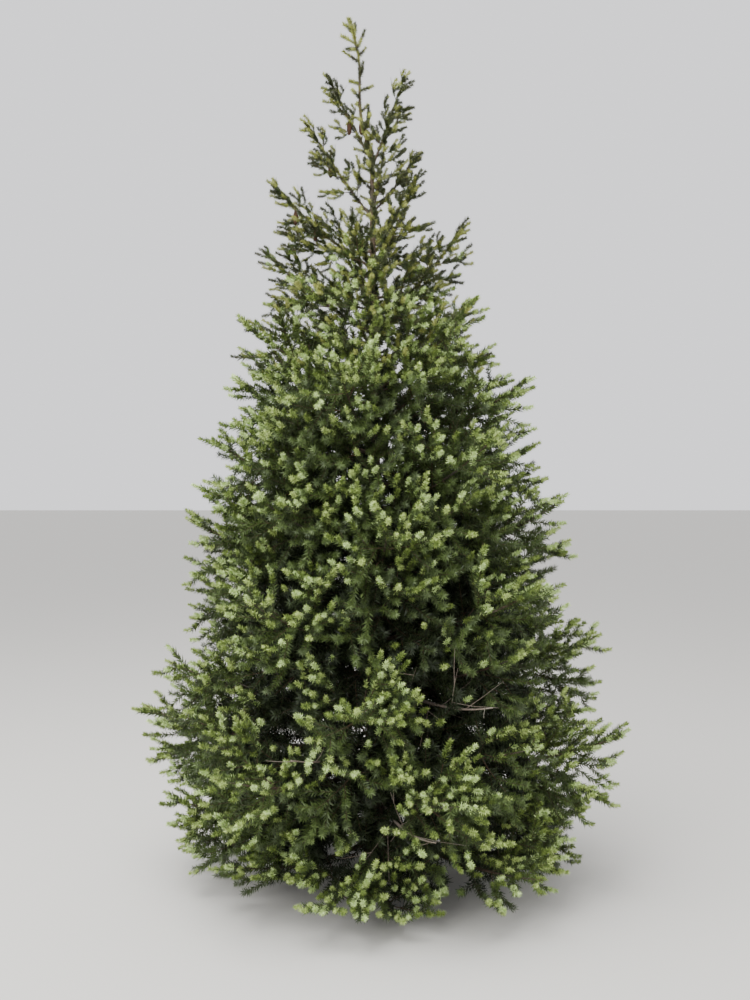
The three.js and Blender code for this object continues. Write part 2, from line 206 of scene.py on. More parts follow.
class Line:
    """A limb's middle line, given by a function of its share from 0 to 1."""

    STEP = 1e-4
    LENGTH_MARKS = 61

    def __init__(self, place: Callable[[float], np.ndarray]) -> None:
        """Measure a line.

        Args:
            place: The function that gives its point for a share.
        """
        self.place = place
        points = self.points(self.LENGTH_MARKS)
        self.length = float(np.linalg.norm(np.diff(points, axis=0), axis=1).sum())

    def point(self, share: float) -> np.ndarray:
        """Return the point at a share of the line."""
        return self.place(share)

    def axes(self, share: float) -> Axes:
        """Return the axes at a share of the line."""
        low, high = max(0.0, share - self.STEP), min(1.0, share + self.STEP)
        return Axes.along(unit(self.place(high) - self.place(low)))

    def points(self, count: int, first: float = 0.0, last: float = 1.0) -> np.ndarray:
        """Return a number of points spread evenly between two shares."""
        return np.array([self.place(share) for share in np.linspace(first, last, count)])

    @classmethod
    def bent(cls, root: np.ndarray, direction: np.ndarray, length: float, form: TwigForm) -> "Line":
        """Make a twig's line, which sags on its way and bends outwards and up at its tip.

        Args:
            root: Where it starts.
            direction: Its unit direction.
            length: Its length in metres.
            form: How it bends.

        Returns:
            The line.
        """
        middle = root + direction * (length / 2) - UP * (2 * form.sag * length)
        tip = root + (direction + outwards(root) * form.pull) * length

        def place(share: float) -> np.ndarray:
            """Return the point at a share of the curve."""
            return root * ((1 - share) ** 2) + middle * (2 * share * (1 - share)) + tip * (share * share)

        return cls(place)


@dataclass(frozen=True)
class Side:
    """How far the boughs on one side of a tier reach, and how far their tips rise."""

    reach: float
    rise: float


@dataclass(frozen=True)
class Tier:
    """One tier of boughs. Turns are compass angles: 0 to the right and 270 towards the viewer."""

    height: float
    turns: tuple[float, ...]
    left: Side
    right: Side
    front: Side

    def side(self, turn: float) -> Side:
        """Blend the reach and rise of a bough between its side and its front.

        Args:
            turn: The bough's compass angle in radians.

        Returns:
            The blended side.
        """
        level = math.cos(turn) ** 2
        near = self.left if math.cos(turn) < 0 else self.right
        return Side(
            near.reach * level + self.front.reach * (1 - level),
            near.rise * level + self.front.rise * (1 - level),
        )


TIERS = (
    Tier(0.23, (186, 256, 316, 10, 108), Side(0.88, 0.13), Side(0.96, 0.01), Side(0.78, -0.07)),
    Tier(0.48, (176, 232, 290, 346, 70), Side(1.02, 0.24), Side(1.05, 0.19), Side(0.9, 0.06)),
    Tier(0.76, (198, 266, 4, 112), Side(0.89, 0.24), Side(0.99, 0.26), Side(0.85, 0.15)),
    Tier(1.03, (166, 234, 320, 58), Side(0.82, 0.26), Side(0.9, 0.32), Side(0.78, 0.2)),
    Tier(1.31, (186, 274, 354, 94), Side(0.8, 0.26), Side(0.8, 0.3), Side(0.7, 0.25)),
    Tier(1.57, (204, 314, 20, 128), Side(0.73, 0.32), Side(0.76, 0.31), Side(0.62, 0.3)),
    Tier(1.83, (170, 254, 346, 72), Side(0.64, 0.35), Side(0.67, 0.32), Side(0.54, 0.34)),
    Tier(2.09, (194, 322, 74), Side(0.59, 0.3), Side(0.56, 0.32), Side(0.46, 0.38)),
    Tier(2.34, (160, 258, 2), Side(0.56, 0.41), Side(0.41, 0.47), Side(0.4, 0.42)),
    Tier(2.6, (186, 308, 68), Side(0.45, 0.37), Side(0.33, 0.4), Side(0.3, 0.38)),
    Tier(2.84, (178, 288, 32), Side(0.3, 0.44), Side(0.26, 0.3), Side(0.22, 0.36)),
    Tier(3.07, (190, 6), Side(0.2, 0.37), Side(0.15, 0.43), Side(0.15, 0.4)),
)


def reach_at(point: np.ndarray) -> float:
    """Find how far the tree reaches from its trunk at a point's height and on its side.

    Args:
        point: The point.

    Returns:
        The reach in metres.
    """
    turn = math.atan2(point[1], point[0])
    sides = [tier.side(turn) for tier in TIERS]
    heights = [tier.height + side.rise for tier, side in zip(TIERS, sides)]
    return float(np.interp(point[2], heights, [side.reach for side in sides]))


def share_of_reach(point: np.ndarray) -> float:
    """Return how far out a point lies, as a share of the tree's reach there."""
    return math.hypot(point[0], point[1]) / reach_at(point)


# The first tiers, counted from 0, of the middle band and of the high one.
BAND_TIERS = (3, 6)


class Band(Enum):
    """The heights of the tree that the foliage is joined by."""

    LOW = "low"
    MIDDLE = "middle"
    HIGH = "high"

    @classmethod
    def of_tier(cls, tier: int) -> "Band":
        """Return the band that a tier, counted from 0, belongs to."""
        return tuple(cls)[bisect(BAND_TIERS, tier)]

    @classmethod
    def of_height(cls, height: float) -> "Band":
        """Return the band at a height of the trunk."""
        return cls.of_tier(bisect([tier.height for tier in TIERS], height) - 1)


class Age(Enum):
    """The needles: old ones in the shade, last year's lighter ones near the light, this spring's, and the
    top's.

    Last year's lighter tints are partly painted light, and the top's olive ones painted shade. Old needles
    also take the place of tip shoots that get no light, as painted shade.
    """

    OLD = "old"
    LAST = "last"
    NEW = "new"
    TOP = "top"


# The sRGB curve has a straight foot and a power above it.
CHANNEL_MOST = 255
SRGB_FOOT = 0.04045
SRGB_FOOT_SLOPE = 12.92
SRGB_OFFSET = 0.055
SRGB_POWER = 2.4


def linear(colour: int) -> tuple[float, float, float, float]:
    """Turn an sRGB hex value to linear.

    Args:
        colour: The colour as 0xRRGGBB.

    Returns:
        Linear red, green and blue, and an alpha of 1.
    """
    values = np.array(list(colour.to_bytes(3, "big"))) / CHANNEL_MOST
    curved = ((values + SRGB_OFFSET) / (1 + SRGB_OFFSET)) ** SRGB_POWER
    red, green, blue = np.where(values <= SRGB_FOOT, values / SRGB_FOOT_SLOPE, curved).tolist()
    return red, green, blue, 1.0


def add_node(
    tree: bpy.types.NodeTree,
    kind: str,
    settings: Mapping[str, object] | None = None,
    inputs: Mapping[str | int, object] | None = None,
) -> bpy.types.Node:
    """Add a node with its settings and links.

    Args:
        tree: The shader or geometry tree.
        kind: The node's type name.
        settings: Its properties by name.
        inputs: By input name or number, a value, an output to link from, or a node for its first output.

    Returns:
        The new node.
    """
    node = tree.nodes.new(kind)
    for name, value in (settings or {}).items():
        setattr(node, name, value)
    for key, value in (inputs or {}).items():
        if isinstance(value, bpy.types.Node):
            value = value.outputs[0]
        if isinstance(value, bpy.types.NodeSocket):
            tree.links.new(value, node.inputs[key])
        else:
            node.inputs[key].default_value = value
    return node


def blank_material(name: str) -> bpy.types.Material:
    """Make a material whose node tree is empty.

    Args:
        name: The material's name.

    Returns:
        The material.
    """
    material = bpy.data.materials.new(name)
    material.use_nodes = True
    material.node_tree.nodes.clear()
    return material


@dataclass(frozen=True)
class NeedleFinish:
    """Spruce needles: a waxy skin over soft green, so they have a satin gloss and no clear highlight.

    A mottle of two near tints stands for the needles' own variation. It is about as wide as a brush, because
    one that changed from needle to needle would be too fine to show. New shoots have a finer one, so each
    shows a few paler needles.
    """

    name: str
    age: Age
    light: int
    dark: int
    share: float
    roughness: float = 0.5
    mottle: float = 0.03

    DETAIL = 2.0
    RAMP = (0.35, 0.65)
    SPECULAR = 0.3

    def material(self) -> bpy.types.Material:
        """Make the material of these needles.

        Returns:
            The material.
        """
        material = blank_material(self.name)
        tree = material.node_tree
        place = add_node(tree, "ShaderNodeTexCoord").outputs["Object"]
        noise_inputs = {"Vector": place, "Scale": 1 / self.mottle, "Detail": self.DETAIL}
        mottle = add_node(tree, "ShaderNodeTexNoise", inputs=noise_inputs)
        ramp = add_node(tree, "ShaderNodeValToRGB", inputs={"Fac": mottle})
        for element, position, tint in zip(ramp.color_ramp.elements, self.RAMP, (self.dark, self.light)):
            element.position = position
            element.color = linear(tint)
        shader = add_node(
            tree,
            "ShaderNodeBsdfPrincipled",
            inputs={"Base Color": ramp, "Roughness": self.roughness, "Specular IOR Level": self.SPECULAR},
        )
        add_node(tree, "ShaderNodeOutputMaterial", inputs={"Surface": shader})
        return material


# Each has its light and dark tints, and its share of the brushes of its age. New shoots are pale lime green.
# The top's are yellower and duller, and their olive tint is painted shade of the backlit top. Last year's are
# a fresh dark green, lighter near the outside partly as painted light, and the old ones in the shade are
# darkest.
NEEDLES = (
    NeedleFinish("pale_new_needles", Age.NEW, 0xD0E4A4, 0x90AA56, 0.34, mottle=0.012),
    NeedleFinish("fresh_new_needles", Age.NEW, 0xB8CA7E, 0x778C41, 0.36, mottle=0.012),
    NeedleFinish("deeper_new_needles", Age.NEW, 0x889B4F, 0x53672D, 0.3, mottle=0.012),
    NeedleFinish("yellow_top_needles", Age.TOP, 0xA0A65A, 0x798044, 0.46),
    # Painted shade: the backlit top's shoots in a dark olive.
    NeedleFinish("olive_top_needles", Age.TOP, 0x4A5031, 0x343A20, 0.54),
    # Last year's needles: lighter than the old ones near the outside, partly as painted light.
    NeedleFinish("green_last_needles", Age.LAST, 0x546634, 0x3A4823, 0.55),
    NeedleFinish("dull_last_needles", Age.LAST, 0x475531, 0x313C21, 0.45),
    NeedleFinish("dark_old_needles", Age.OLD, 0x2E3821, 0x1D2515, 0.55),
    NeedleFinish("green_old_needles", Age.OLD, 0x3A472A, 0x29331B, 0.45),
)


@dataclass(frozen=True)
class BarkFinish:
    """Spruce bark: thin dry flakes, so matte, each a little lighter or darker than the next.

    The flakes' edges are bent by a finer noise, as real ones are ragged. A slow change of tone along the limb
    stands for dust and algae on its weather side. The flake is the real one's width in metres, and the relief
    is how far it lifts.
    """

    name: str
    light: int
    dark: int
    seam: int
    weathered: int
    flake: float
    relief: float
    roughness: float = 0.85

    RAGGED_SHARE = 0.625
    RAGGED_DETAIL = 3.0
    BEND = 1.1
    PATCH_WIDTH = 0.11
    PATCH_DETAIL = 5.0
    PATCH_RANGE = (0.45, 0.7)
    CRACK_WIDTH = 0.09
    CRACK_DEPTH = 0.55
    BUMP_STRENGTH = 0.8
    SPECULAR = 0.2

    def material(self) -> bpy.types.Material:
        """Make the material of this bark.

        Returns:
            The material.
        """
        material = blank_material(self.name)
        tree = material.node_tree
        place = add_node(tree, "ShaderNodeTexCoord").outputs["Object"]
        ragged = add_node(
            tree,
            "ShaderNodeTexNoise",
            inputs={
                "Vector": place,
                "Scale": 1 / (self.RAGGED_SHARE * self.flake),
                "Detail": self.RAGGED_DETAIL,
            },
        )
        bend = self.BEND * self.flake
        bent = add_node(
            tree,
            "ShaderNodeVectorMath",
            {"operation": "MULTIPLY_ADD"},
            {0: ragged.outputs["Color"], 1: (bend, bend, bend), 2: place},
        )
        cells = {"Vector": bent, "Scale": 1 / self.flake}
        flakes = add_node(tree, "ShaderNodeTexVoronoi", inputs=cells)
        edges = add_node(tree, "ShaderNodeTexVoronoi", {"feature": "DISTANCE_TO_EDGE"}, cells)
        tone = add_node(tree, "ShaderNodeSeparateColor", inputs={"Color": flakes.outputs["Color"]})
        flaked = add_node(
            tree,
            "ShaderNodeMixRGB",
            inputs={"Fac": tone.outputs["Red"], "Color1": linear(self.dark), "Color2": linear(self.light)},
        )
        slow = add_node(
            tree,
            "ShaderNodeTexNoise",
            inputs={"Vector": place, "Scale": 1 / self.PATCH_WIDTH, "Detail": self.PATCH_DETAIL},
        )
        patch = add_node(
            tree,
            "ShaderNodeMapRange",
            inputs={"Value": slow, "From Min": self.PATCH_RANGE[0], "From Max": self.PATCH_RANGE[1]},
        )
        patched = add_node(
            tree,
            "ShaderNodeMixRGB",
            inputs={"Fac": patch, "Color1": flaked, "Color2": linear(self.weathered)},
        )
        crack = add_node(
            tree,
            "ShaderNodeMapRange",
            inputs={
                "Value": edges,
                "From Max": self.CRACK_WIDTH,
                "To Min": self.CRACK_DEPTH,
                "To Max": 0.0,
            },
        )
        colour = add_node(
            tree, "ShaderNodeMixRGB", inputs={"Fac": crack, "Color1": patched, "Color2": linear(self.seam)}
        )
        curl = add_node(
            tree, "ShaderNodeMath", {"operation": "SUBTRACT"}, {0: tone.outputs["Green"], 1: crack}
        )
        height = add_node(tree, "ShaderNodeMath", {"operation": "ADD"}, {0: curl, 1: ragged})
        bump = add_node(
            tree,
            "ShaderNodeBump",
            inputs={"Height": height, "Distance": self.relief, "Strength": self.BUMP_STRENGTH},
        )
        shader = add_node(
            tree,
            "ShaderNodeBsdfPrincipled",
            inputs={
                "Base Color": colour,
                "Roughness": self.roughness,
                "Specular IOR Level": self.SPECULAR,
                "Normal": bump,
            },
        )
        add_node(tree, "ShaderNodeOutputMaterial", inputs={"Surface": shader})
        return material


# Each has its light, dark, seam and weathered tints, its flakes' width and relief, and its roughness if it
# isn't the usual. The trunk is covered with rough grey-brown flakes, 7.5 mm wide.
TRUNK_BARK = BarkFinish("flaky_spruce_bark", 0x6F5D50, 0x4A3C32, 0x2C221A, 0x5E5B50, 0.0075, 0.0018)
# The boughs' bark is younger, with flakes 3.4 mm wide.
BOUGH_BARK = BarkFinish("rough_bough_bark", 0x6E5D51, 0x4C3F35, 0x30261E, 0x5C5950, 0.0034, 0.0008)
# Twigs are browner and smoother. They have the ridges at the needles' feet instead, 2.2 mm apart.
TWIG_BARK = BarkFinish("ridged_twig_bark", 0x65513F, 0x46382D, 0x2E241B, 0x554C40, 0.0022, 0.0003, 0.75)
# Dead wood has lost its brown, so it shows as pale grey lines before the dark inside.
DEAD_BARK = BarkFinish("weathered_dead_bark", 0x96897D, 0x71645A, 0x4B4139, 0x8C877C, 0.0022, 0.0003, 0.8)
# Cone scales are brown and papery, with a faint sheen.
CONE_SCALE = BarkFinish("papery_cone_scale", 0x5C4231, 0x422D20, 0x20150D, 0x523B2B, 0.006, 0.0003, 0.6)


def face_mesh(name: str, points: Iterable, faces: Iterable) -> bpy.types.Mesh:
    """Make a mesh of flat faces.

    Args:
        name: The mesh's name.
        points: Its points.
        faces: The numbers of each face's corners, in order round it as seen from outside.

    Returns:
        The mesh.
    """
    mesh = bpy.data.meshes.new(name)
    mesh.from_pydata([tuple(point) for point in points], [], [tuple(face) for face in faces])
    return mesh


def point_mesh(name: str, points: np.ndarray, attributes: Mapping[str, np.ndarray]) -> bpy.types.Mesh:
    """Make a mesh of loose points with vector attributes.

    Args:
        name: The mesh's name.
        points: The points, one row each.
        attributes: By name, one vector for each point.

    Returns:
        The mesh.
    """
    mesh = bpy.data.meshes.new(name)
    mesh.vertices.add(len(points))
    mesh.vertices.foreach_set("co", np.asarray(points, np.float32).ravel())
    for label, values in attributes.items():
        layer = mesh.attributes.new(label, "FLOAT_VECTOR", "POINT")
        layer.data.foreach_set("vector", np.asarray(values, np.float32).ravel())
    return mesh


def line_mesh(name: str, lines: list[tuple[np.ndarray, np.ndarray]]) -> bpy.types.Mesh:
    """Make a mesh of open lines, each with a radius at every point.

    Args:
        name: The mesh's name.
        lines: The points and the radii of each line.

    Returns:
        The mesh, with the radii in an attribute named thickness.
    """
    points = np.concatenate([line for line, _ in lines])
    radii = np.concatenate([thickness for _, thickness in lines])
    ends = np.cumsum([len(line) for line, _ in lines]) - 1
    starts = np.setdiff1d(np.arange(len(points)), ends)
    edges = np.stack((starts, starts + 1), axis=1)
    mesh = bpy.data.meshes.new(name)
    mesh.vertices.add(len(points))
    mesh.vertices.foreach_set("co", points.astype(np.float32).ravel())
    mesh.edges.add(len(edges))
    mesh.edges.foreach_set("vertices", edges.astype(np.int32).ravel())
    layer = mesh.attributes.new("thickness", "FLOAT", "POINT")
    layer.data.foreach_set("value", radii.astype(np.float32))
    return mesh


def hand_over(piece: bpy.types.Object, nodes: Iterable[str]) -> None:
    """Make a finished piece part of the tree, and report it.

    Args:
        piece: The piece.
        nodes: The solids that it stands for.
    """
    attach(piece, BODY)
    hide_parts(*nodes)
    triangles = sum(len(face.vertices) - 2 for face in piece.data.polygons)
    LOG.info("%s: %d triangles", piece.name, triangles)


class GrowingTool:
    """A geometry node tree with named inputs, and the way to turn its result into a plain mesh."""

    def __init__(self, name: str, inputs: Mapping[str, tuple[str, object]]) -> None:
        """Start a tree.

        Args:
            name: The tree's name.
            inputs: By name, each input's socket type and its default value.
        """
        self.tree = bpy.data.node_groups.new(name, "GeometryNodeTree")
        interface = self.tree.interface
        for direction in ("INPUT", "OUTPUT"):
            interface.new_socket("Geometry", in_out=direction, socket_type="NodeSocketGeometry")
        self.identifiers: dict[str, str] = {}
        for label, (kind, default) in {**inputs, "Finish": ("Material", None)}.items():
            socket = interface.new_socket(label, in_out="INPUT", socket_type=f"NodeSocket{kind}")
            if default is not None:
                socket.default_value = default
            self.identifiers[label] = socket.identifier
        self.inputs = self.add("NodeGroupInput").outputs

    def add(
        self,
        kind: str,
        settings: Mapping[str, object] | None = None,
        inputs: Mapping[str | int, object] | None = None,
    ) -> bpy.types.Node:
        """Add a node to the tree, as add_node does."""
        return add_node(self.tree, kind, settings, inputs)

    def end(self, made: bpy.types.Node) -> None:
        """Close the tree: realize the instances and set the finish.

        Args:
            made: The node whose first output is the geometry that the tree has made.
        """
        real = self.add("GeometryNodeRealizeInstances", inputs={"Geometry": made})
        values = {"Geometry": real, "Material": self.inputs["Finish"]}
        finished = self.add("GeometryNodeSetMaterial", inputs=values)
        self.add("NodeGroupOutput", inputs={"Geometry": finished})

    def make(self, name: str, host: bpy.types.Mesh, values: Mapping[str, object]) -> bpy.types.Object:
        """Run the tree on a mesh and keep the result as a plain mesh object.

        Args:
            name: The new object's name.
            host: The mesh that the tree starts from.
            values: Values for the tree's inputs, by name.

        Returns:
            The finished object, at the origin.
        """
        piece = bpy.data.objects.new(name, host)
        bpy.context.scene.collection.objects.link(piece)
        modifier = piece.modifiers.new("growth", "NODES")
        modifier.node_group = self.tree
        for label, value in values.items():
            modifier[self.identifiers[label]] = value
        evaluated = piece.evaluated_get(bpy.context.evaluated_depsgraph_get())
        mesh = bpy.data.meshes.new_from_object(evaluated)
        mesh.name = name
        piece.modifiers.remove(modifier)
        piece.data = mesh
        bpy.data.meshes.remove(host)
        return piece


class NeedleSpiral(GrowingTool):
    """Sets needles in a spiral round a length of twig, which runs up from the origin."""

    LEAST = (-0.16, -math.pi, 0.85)
    MOST = (0.16, math.pi, 1.12)
    STEM_SIDES = 3

    def __init__(self) -> None:
        """Build the tree. LEAST and MOST bound each needle's own tilt, roll and size."""
        super().__init__(
            "needle_spiral",
            {
                "Needle": ("Object", None),
                "Needles": ("Int", 40),
                "Length": ("Float", 0.05),
                "Low Spread": ("Float", 1.1),
                "High Spread": ("Float", 0.9),
                "Tip Size": ("Float", 1.0),
                "Stem Radius": ("Float", 0.0015),
                "Seed": ("Int", 0),
            },
        )
        inputs = self.inputs
        index = self.add("GeometryNodeInputIndex")
        share = self.add("ShaderNodeMath", {"operation": "DIVIDE"}, {0: index, 1: inputs["Needles"]})
        along = self.add("ShaderNodeMath", {"operation": "MULTIPLY"}, {0: share, 1: inputs["Length"]})
        place = self.add("ShaderNodeCombineXYZ", inputs={"Z": along})
        points = self.add("GeometryNodePoints", inputs={"Count": inputs["Needles"], "Position": place})
        chance = self.add(
            "FunctionNodeRandomValue",
            {"data_type": "FLOAT_VECTOR"},
            {0: self.LEAST, 1: self.MOST, "ID": index, "Seed": inputs["Seed"]},
        )
        own = self.add("ShaderNodeSeparateXYZ", inputs={"Vector": chance}).outputs
        spread = self.add(
            "ShaderNodeMapRange",
            inputs={"Value": share, "To Min": inputs["Low Spread"], "To Max": inputs["High Spread"]},
        )
        tilt = self.add("ShaderNodeMath", {"operation": "ADD"}, {0: spread, 1: own["X"]})
        spiral = self.add("ShaderNodeMath", {"operation": "MULTIPLY"}, {0: index, 1: GOLDEN_ANGLE})
        turn = self.add("ShaderNodeCombineXYZ", inputs={"Y": tilt, "Z": spiral})
        roll = self.add("ShaderNodeCombineXYZ", inputs={"Z": own["Y"]})
        turning = self.add("FunctionNodeEulerToRotation", inputs={"Euler": turn})
        rolling = self.add("FunctionNodeEulerToRotation", inputs={"Euler": roll})
        rotation = self.add(
            "FunctionNodeRotateRotation",
            {"rotation_space": "LOCAL"},
            {"Rotation": turning, "Rotate By": rolling},
        )
        size = self.add(
            "ShaderNodeMapRange", inputs={"Value": share, "To Min": 1.0, "To Max": inputs["Tip Size"]}
        )
        sized = self.add("ShaderNodeMath", {"operation": "MULTIPLY"}, {0: size, 1: own["Z"]})
        scale = self.add("ShaderNodeCombineXYZ", inputs={"X": 1.0, "Y": 1.0, "Z": sized})
        needle = self.add("GeometryNodeObjectInfo", inputs={"Object": inputs["Needle"]})
        spiky = self.add(
            "GeometryNodeInstanceOnPoints",
            inputs={
                "Points": points,
                "Instance": needle.outputs["Geometry"],
                "Rotation": rotation,
                "Scale": scale,
            },
        )
        stem = self.add(
            "GeometryNodeMeshCone",
            {"fill_type": "NONE"},
            {
                "Vertices": self.STEM_SIDES,
                "Side Segments": 1,
                "Radius Top": 0.0,
                "Radius Bottom": inputs["Stem Radius"],
                "Depth": inputs["Length"],
            },
        )
        both = self.add("GeometryNodeJoinGeometry")
        for part in (spiky, stem):
            self.tree.links.new(part.outputs[0], both.inputs[0])
        self.end(both)


class BrushPlaces(GrowingTool):
    """Sets a copy of one object at each of many places, aimed, rolled and sized by their attributes."""

    def __init__(self) -> None:
        """Build the tree."""
        super().__init__("brush_places", {"Brush": ("Object", None)})
        aim, side, size = (
            self.add("GeometryNodeInputNamedAttribute", {"data_type": "FLOAT_VECTOR"}, {"Name": name})
            for name in ("aim", "side", "size")
        )
        aimed = self.add("FunctionNodeAlignRotationToVector", {"axis": "Z"}, {"Vector": aim})
        rolled = self.add(
            "FunctionNodeAlignRotationToVector",
            {"axis": "X", "pivot_axis": "Z"},
            {"Rotation": aimed, "Vector": side},
        )
        brush = self.add("GeometryNodeObjectInfo", inputs={"Object": self.inputs["Brush"]})
        set_out = self.add(
            "GeometryNodeInstanceOnPoints",
            inputs={
                "Points": self.inputs["Geometry"],
                "Instance": brush.outputs["Geometry"],
                "Rotation": rolled,
                "Scale": size,
            },
        )
        self.end(set_out)


class LimbSkin(GrowingTool):
    """Skins lines of varying thickness and roughens the skin."""

    DETAIL = 2.0
    NOISE_MIDDLE = 0.5

    def __init__(self) -> None:
        """Build the tree."""
        super().__init__(
            "limb_skin",
            {"Sides": ("Int", 6), "Relief": ("Float", 0.0), "Relief Width": ("Float", 0.01)},
        )
        inputs = self.inputs
        curve = self.add("GeometryNodeMeshToCurve", inputs={"Mesh": inputs["Geometry"]})
        ring = self.add(
            "GeometryNodeCurvePrimitiveCircle", inputs={"Resolution": inputs["Sides"], "Radius": 1.0}
        )
        thickness = self.add(
            "GeometryNodeInputNamedAttribute", {"data_type": "FLOAT"}, {"Name": "thickness"}
        )
        skin = self.add(
            "GeometryNodeCurveToMesh",
            inputs={"Curve": curve, "Profile Curve": ring, "Scale": thickness, "Fill Caps": True},
        )
        place = self.add("GeometryNodeInputPosition")
        fineness = self.add("ShaderNodeMath", {"operation": "DIVIDE"}, {0: 1.0, 1: inputs["Relief Width"]})
        rough = self.add(
            "ShaderNodeTexNoise", inputs={"Vector": place, "Scale": fineness, "Detail": self.DETAIL}
        )
        centred = self.add("ShaderNodeMath", {"operation": "SUBTRACT"}, {0: rough, 1: self.NOISE_MIDDLE})
        height = self.add("ShaderNodeMath", {"operation": "MULTIPLY"}, {0: centred, 1: inputs["Relief"]})
        normal = self.add("GeometryNodeInputNormal")
        offset = self.add("ShaderNodeVectorMath", {"operation": "SCALE"}, {"Vector": normal, "Scale": height})
        moved = self.add("GeometryNodeSetPosition", inputs={"Geometry": skin, "Offset": offset})
        self.end(self.add("GeometryNodeSetShadeSmooth", inputs={"Geometry": moved}))


class ConeScales(GrowingTool):
    """Sets scales round a spindle, from its stalk at the origin down to its tip."""

    SPINDLE_TURN = 0.92 * math.pi
    FULLNESS = 0.6
    CORE_SHARE = 0.86
    LEAN = (math.radians(150), math.radians(172))

    def __init__(self) -> None:
        """Build the tree."""
        super().__init__(
            "cone_scales",
            {
                "Scale Piece": ("Object", None),
                "Scales": ("Int", 64),
                "Length": ("Float", 0.06),
                "Radius": ("Float", 0.008),
            },
        )
        inputs = self.inputs
        index = self.add("GeometryNodeInputIndex")
        share = self.add("ShaderNodeMath", {"operation": "DIVIDE"}, {0: index, 1: inputs["Scales"]})
        swing = self.add("ShaderNodeMath", {"operation": "MULTIPLY"}, {0: share, 1: self.SPINDLE_TURN})
        swell = self.add("ShaderNodeMath", {"operation": "SINE"}, {0: swing})
        full = self.add("ShaderNodeMath", {"operation": "POWER"}, {0: swell, 1: self.FULLNESS})
        out = self.add("ShaderNodeMath", {"operation": "MULTIPLY"}, {0: full, 1: inputs["Radius"]})
        turn = self.add("ShaderNodeMath", {"operation": "MULTIPLY"}, {0: index, 1: GOLDEN_ANGLE})
        cosine = self.add("ShaderNodeMath", {"operation": "COSINE"}, {0: turn})
        sine = self.add("ShaderNodeMath", {"operation": "SINE"}, {0: turn})
        down = self.add("ShaderNodeMath", {"operation": "MULTIPLY"}, {0: share, 1: inputs["Length"]})
        x = self.add("ShaderNodeMath", {"operation": "MULTIPLY"}, {0: out, 1: cosine})
        y = self.add("ShaderNodeMath", {"operation": "MULTIPLY"}, {0: out, 1: sine})
        z = self.add("ShaderNodeMath", {"operation": "MULTIPLY"}, {0: down, 1: -self.CORE_SHARE})
        place = self.add("ShaderNodeCombineXYZ", inputs={"X": x, "Y": y, "Z": z})
        points = self.add("GeometryNodePoints", inputs={"Count": inputs["Scales"], "Position": place})
        lean = self.add(
            "ShaderNodeMapRange", inputs={"Value": share, "To Min": self.LEAN[0], "To Max": self.LEAN[1]}
        )
        spin = self.add("ShaderNodeCombineXYZ", inputs={"Y": lean, "Z": turn})
        rotation = self.add("FunctionNodeEulerToRotation", inputs={"Euler": spin})
        scale = self.add("GeometryNodeObjectInfo", inputs={"Object": inputs["Scale Piece"]})
        covered = self.add(
            "GeometryNodeInstanceOnPoints",
            inputs={"Points": points, "Instance": scale.outputs["Geometry"], "Rotation": rotation},
        )
        self.end(covered)


@dataclass(frozen=True)
class NeedleBrush:
    """The needles on a short length of twig. Spreads are their angles from it, in radians."""

    length: float
    needles: int
    needle_length: float
    needle_width: float
    low_spread: float
    high_spread: float
    tip_size: float = 1.0
    stem_radius: float = 0.0015

    WIDEST_SHARE = 0.25

    def needle(self) -> bpy.types.Object:
        """Make one needle: a slim pointed blade, widest below its middle.

        Returns:
            The needle. Its base is at the origin and it points up.
        """
        half = self.needle_width / 2
        wide = self.WIDEST_SHARE * self.needle_length
        points = ((0, -half, 0), (0, half, wide), (0, 0, self.needle_length))
        return bpy.data.objects.new("needle", face_mesh("needle", points, ((0, 1, 2),)))

    def build(self, seed: int, finish: bpy.types.Material) -> bpy.types.Object:
        """Make one brush.

        Args:
            seed: The seed of its small variations.
            finish: The needles' material.

        Returns:
            The brush. Its base is at the origin and it points up.
        """
        needle = self.needle()
        values = {
            "Needle": needle,
            "Needles": self.needles,
            "Length": self.length,
            "Low Spread": self.low_spread,
            "High Spread": self.high_spread,
            "Tip Size": self.tip_size,
            "Stem Radius": self.stem_radius,
            "Seed": seed,
            "Finish": finish,
        }
        brush = NeedleSpiral().make("brush", bpy.data.meshes.new("empty"), values)
        bpy.data.objects.remove(needle)
        return brush


# Real needles are 10 to 25 mm long and 1 mm wide. These are larger, so a twig looks full with fewer of them.
BRUSHES = {
    Age.OLD: NeedleBrush(
        length=0.068, needles=33, needle_length=0.035, needle_width=0.0067, low_spread=1.15, high_spread=0.95
    ),
    Age.LAST: NeedleBrush(
        length=0.055, needles=44, needle_length=0.0245, needle_width=0.0055, low_spread=1.1, high_spread=0.9
    ),
    Age.NEW: NeedleBrush(
        length=0.033,
        needles=52,
        needle_length=0.0178,
        needle_width=0.0052,
        low_spread=1.4,
        high_spread=0.85,
        tip_size=0.8,
    ),
    Age.TOP: NeedleBrush(
        length=0.04,
        needles=52,
        needle_length=0.0155,
        needle_width=0.0046,
        low_spread=1.1,
        high_spread=0.75,
        tip_size=0.9,
    ),
}


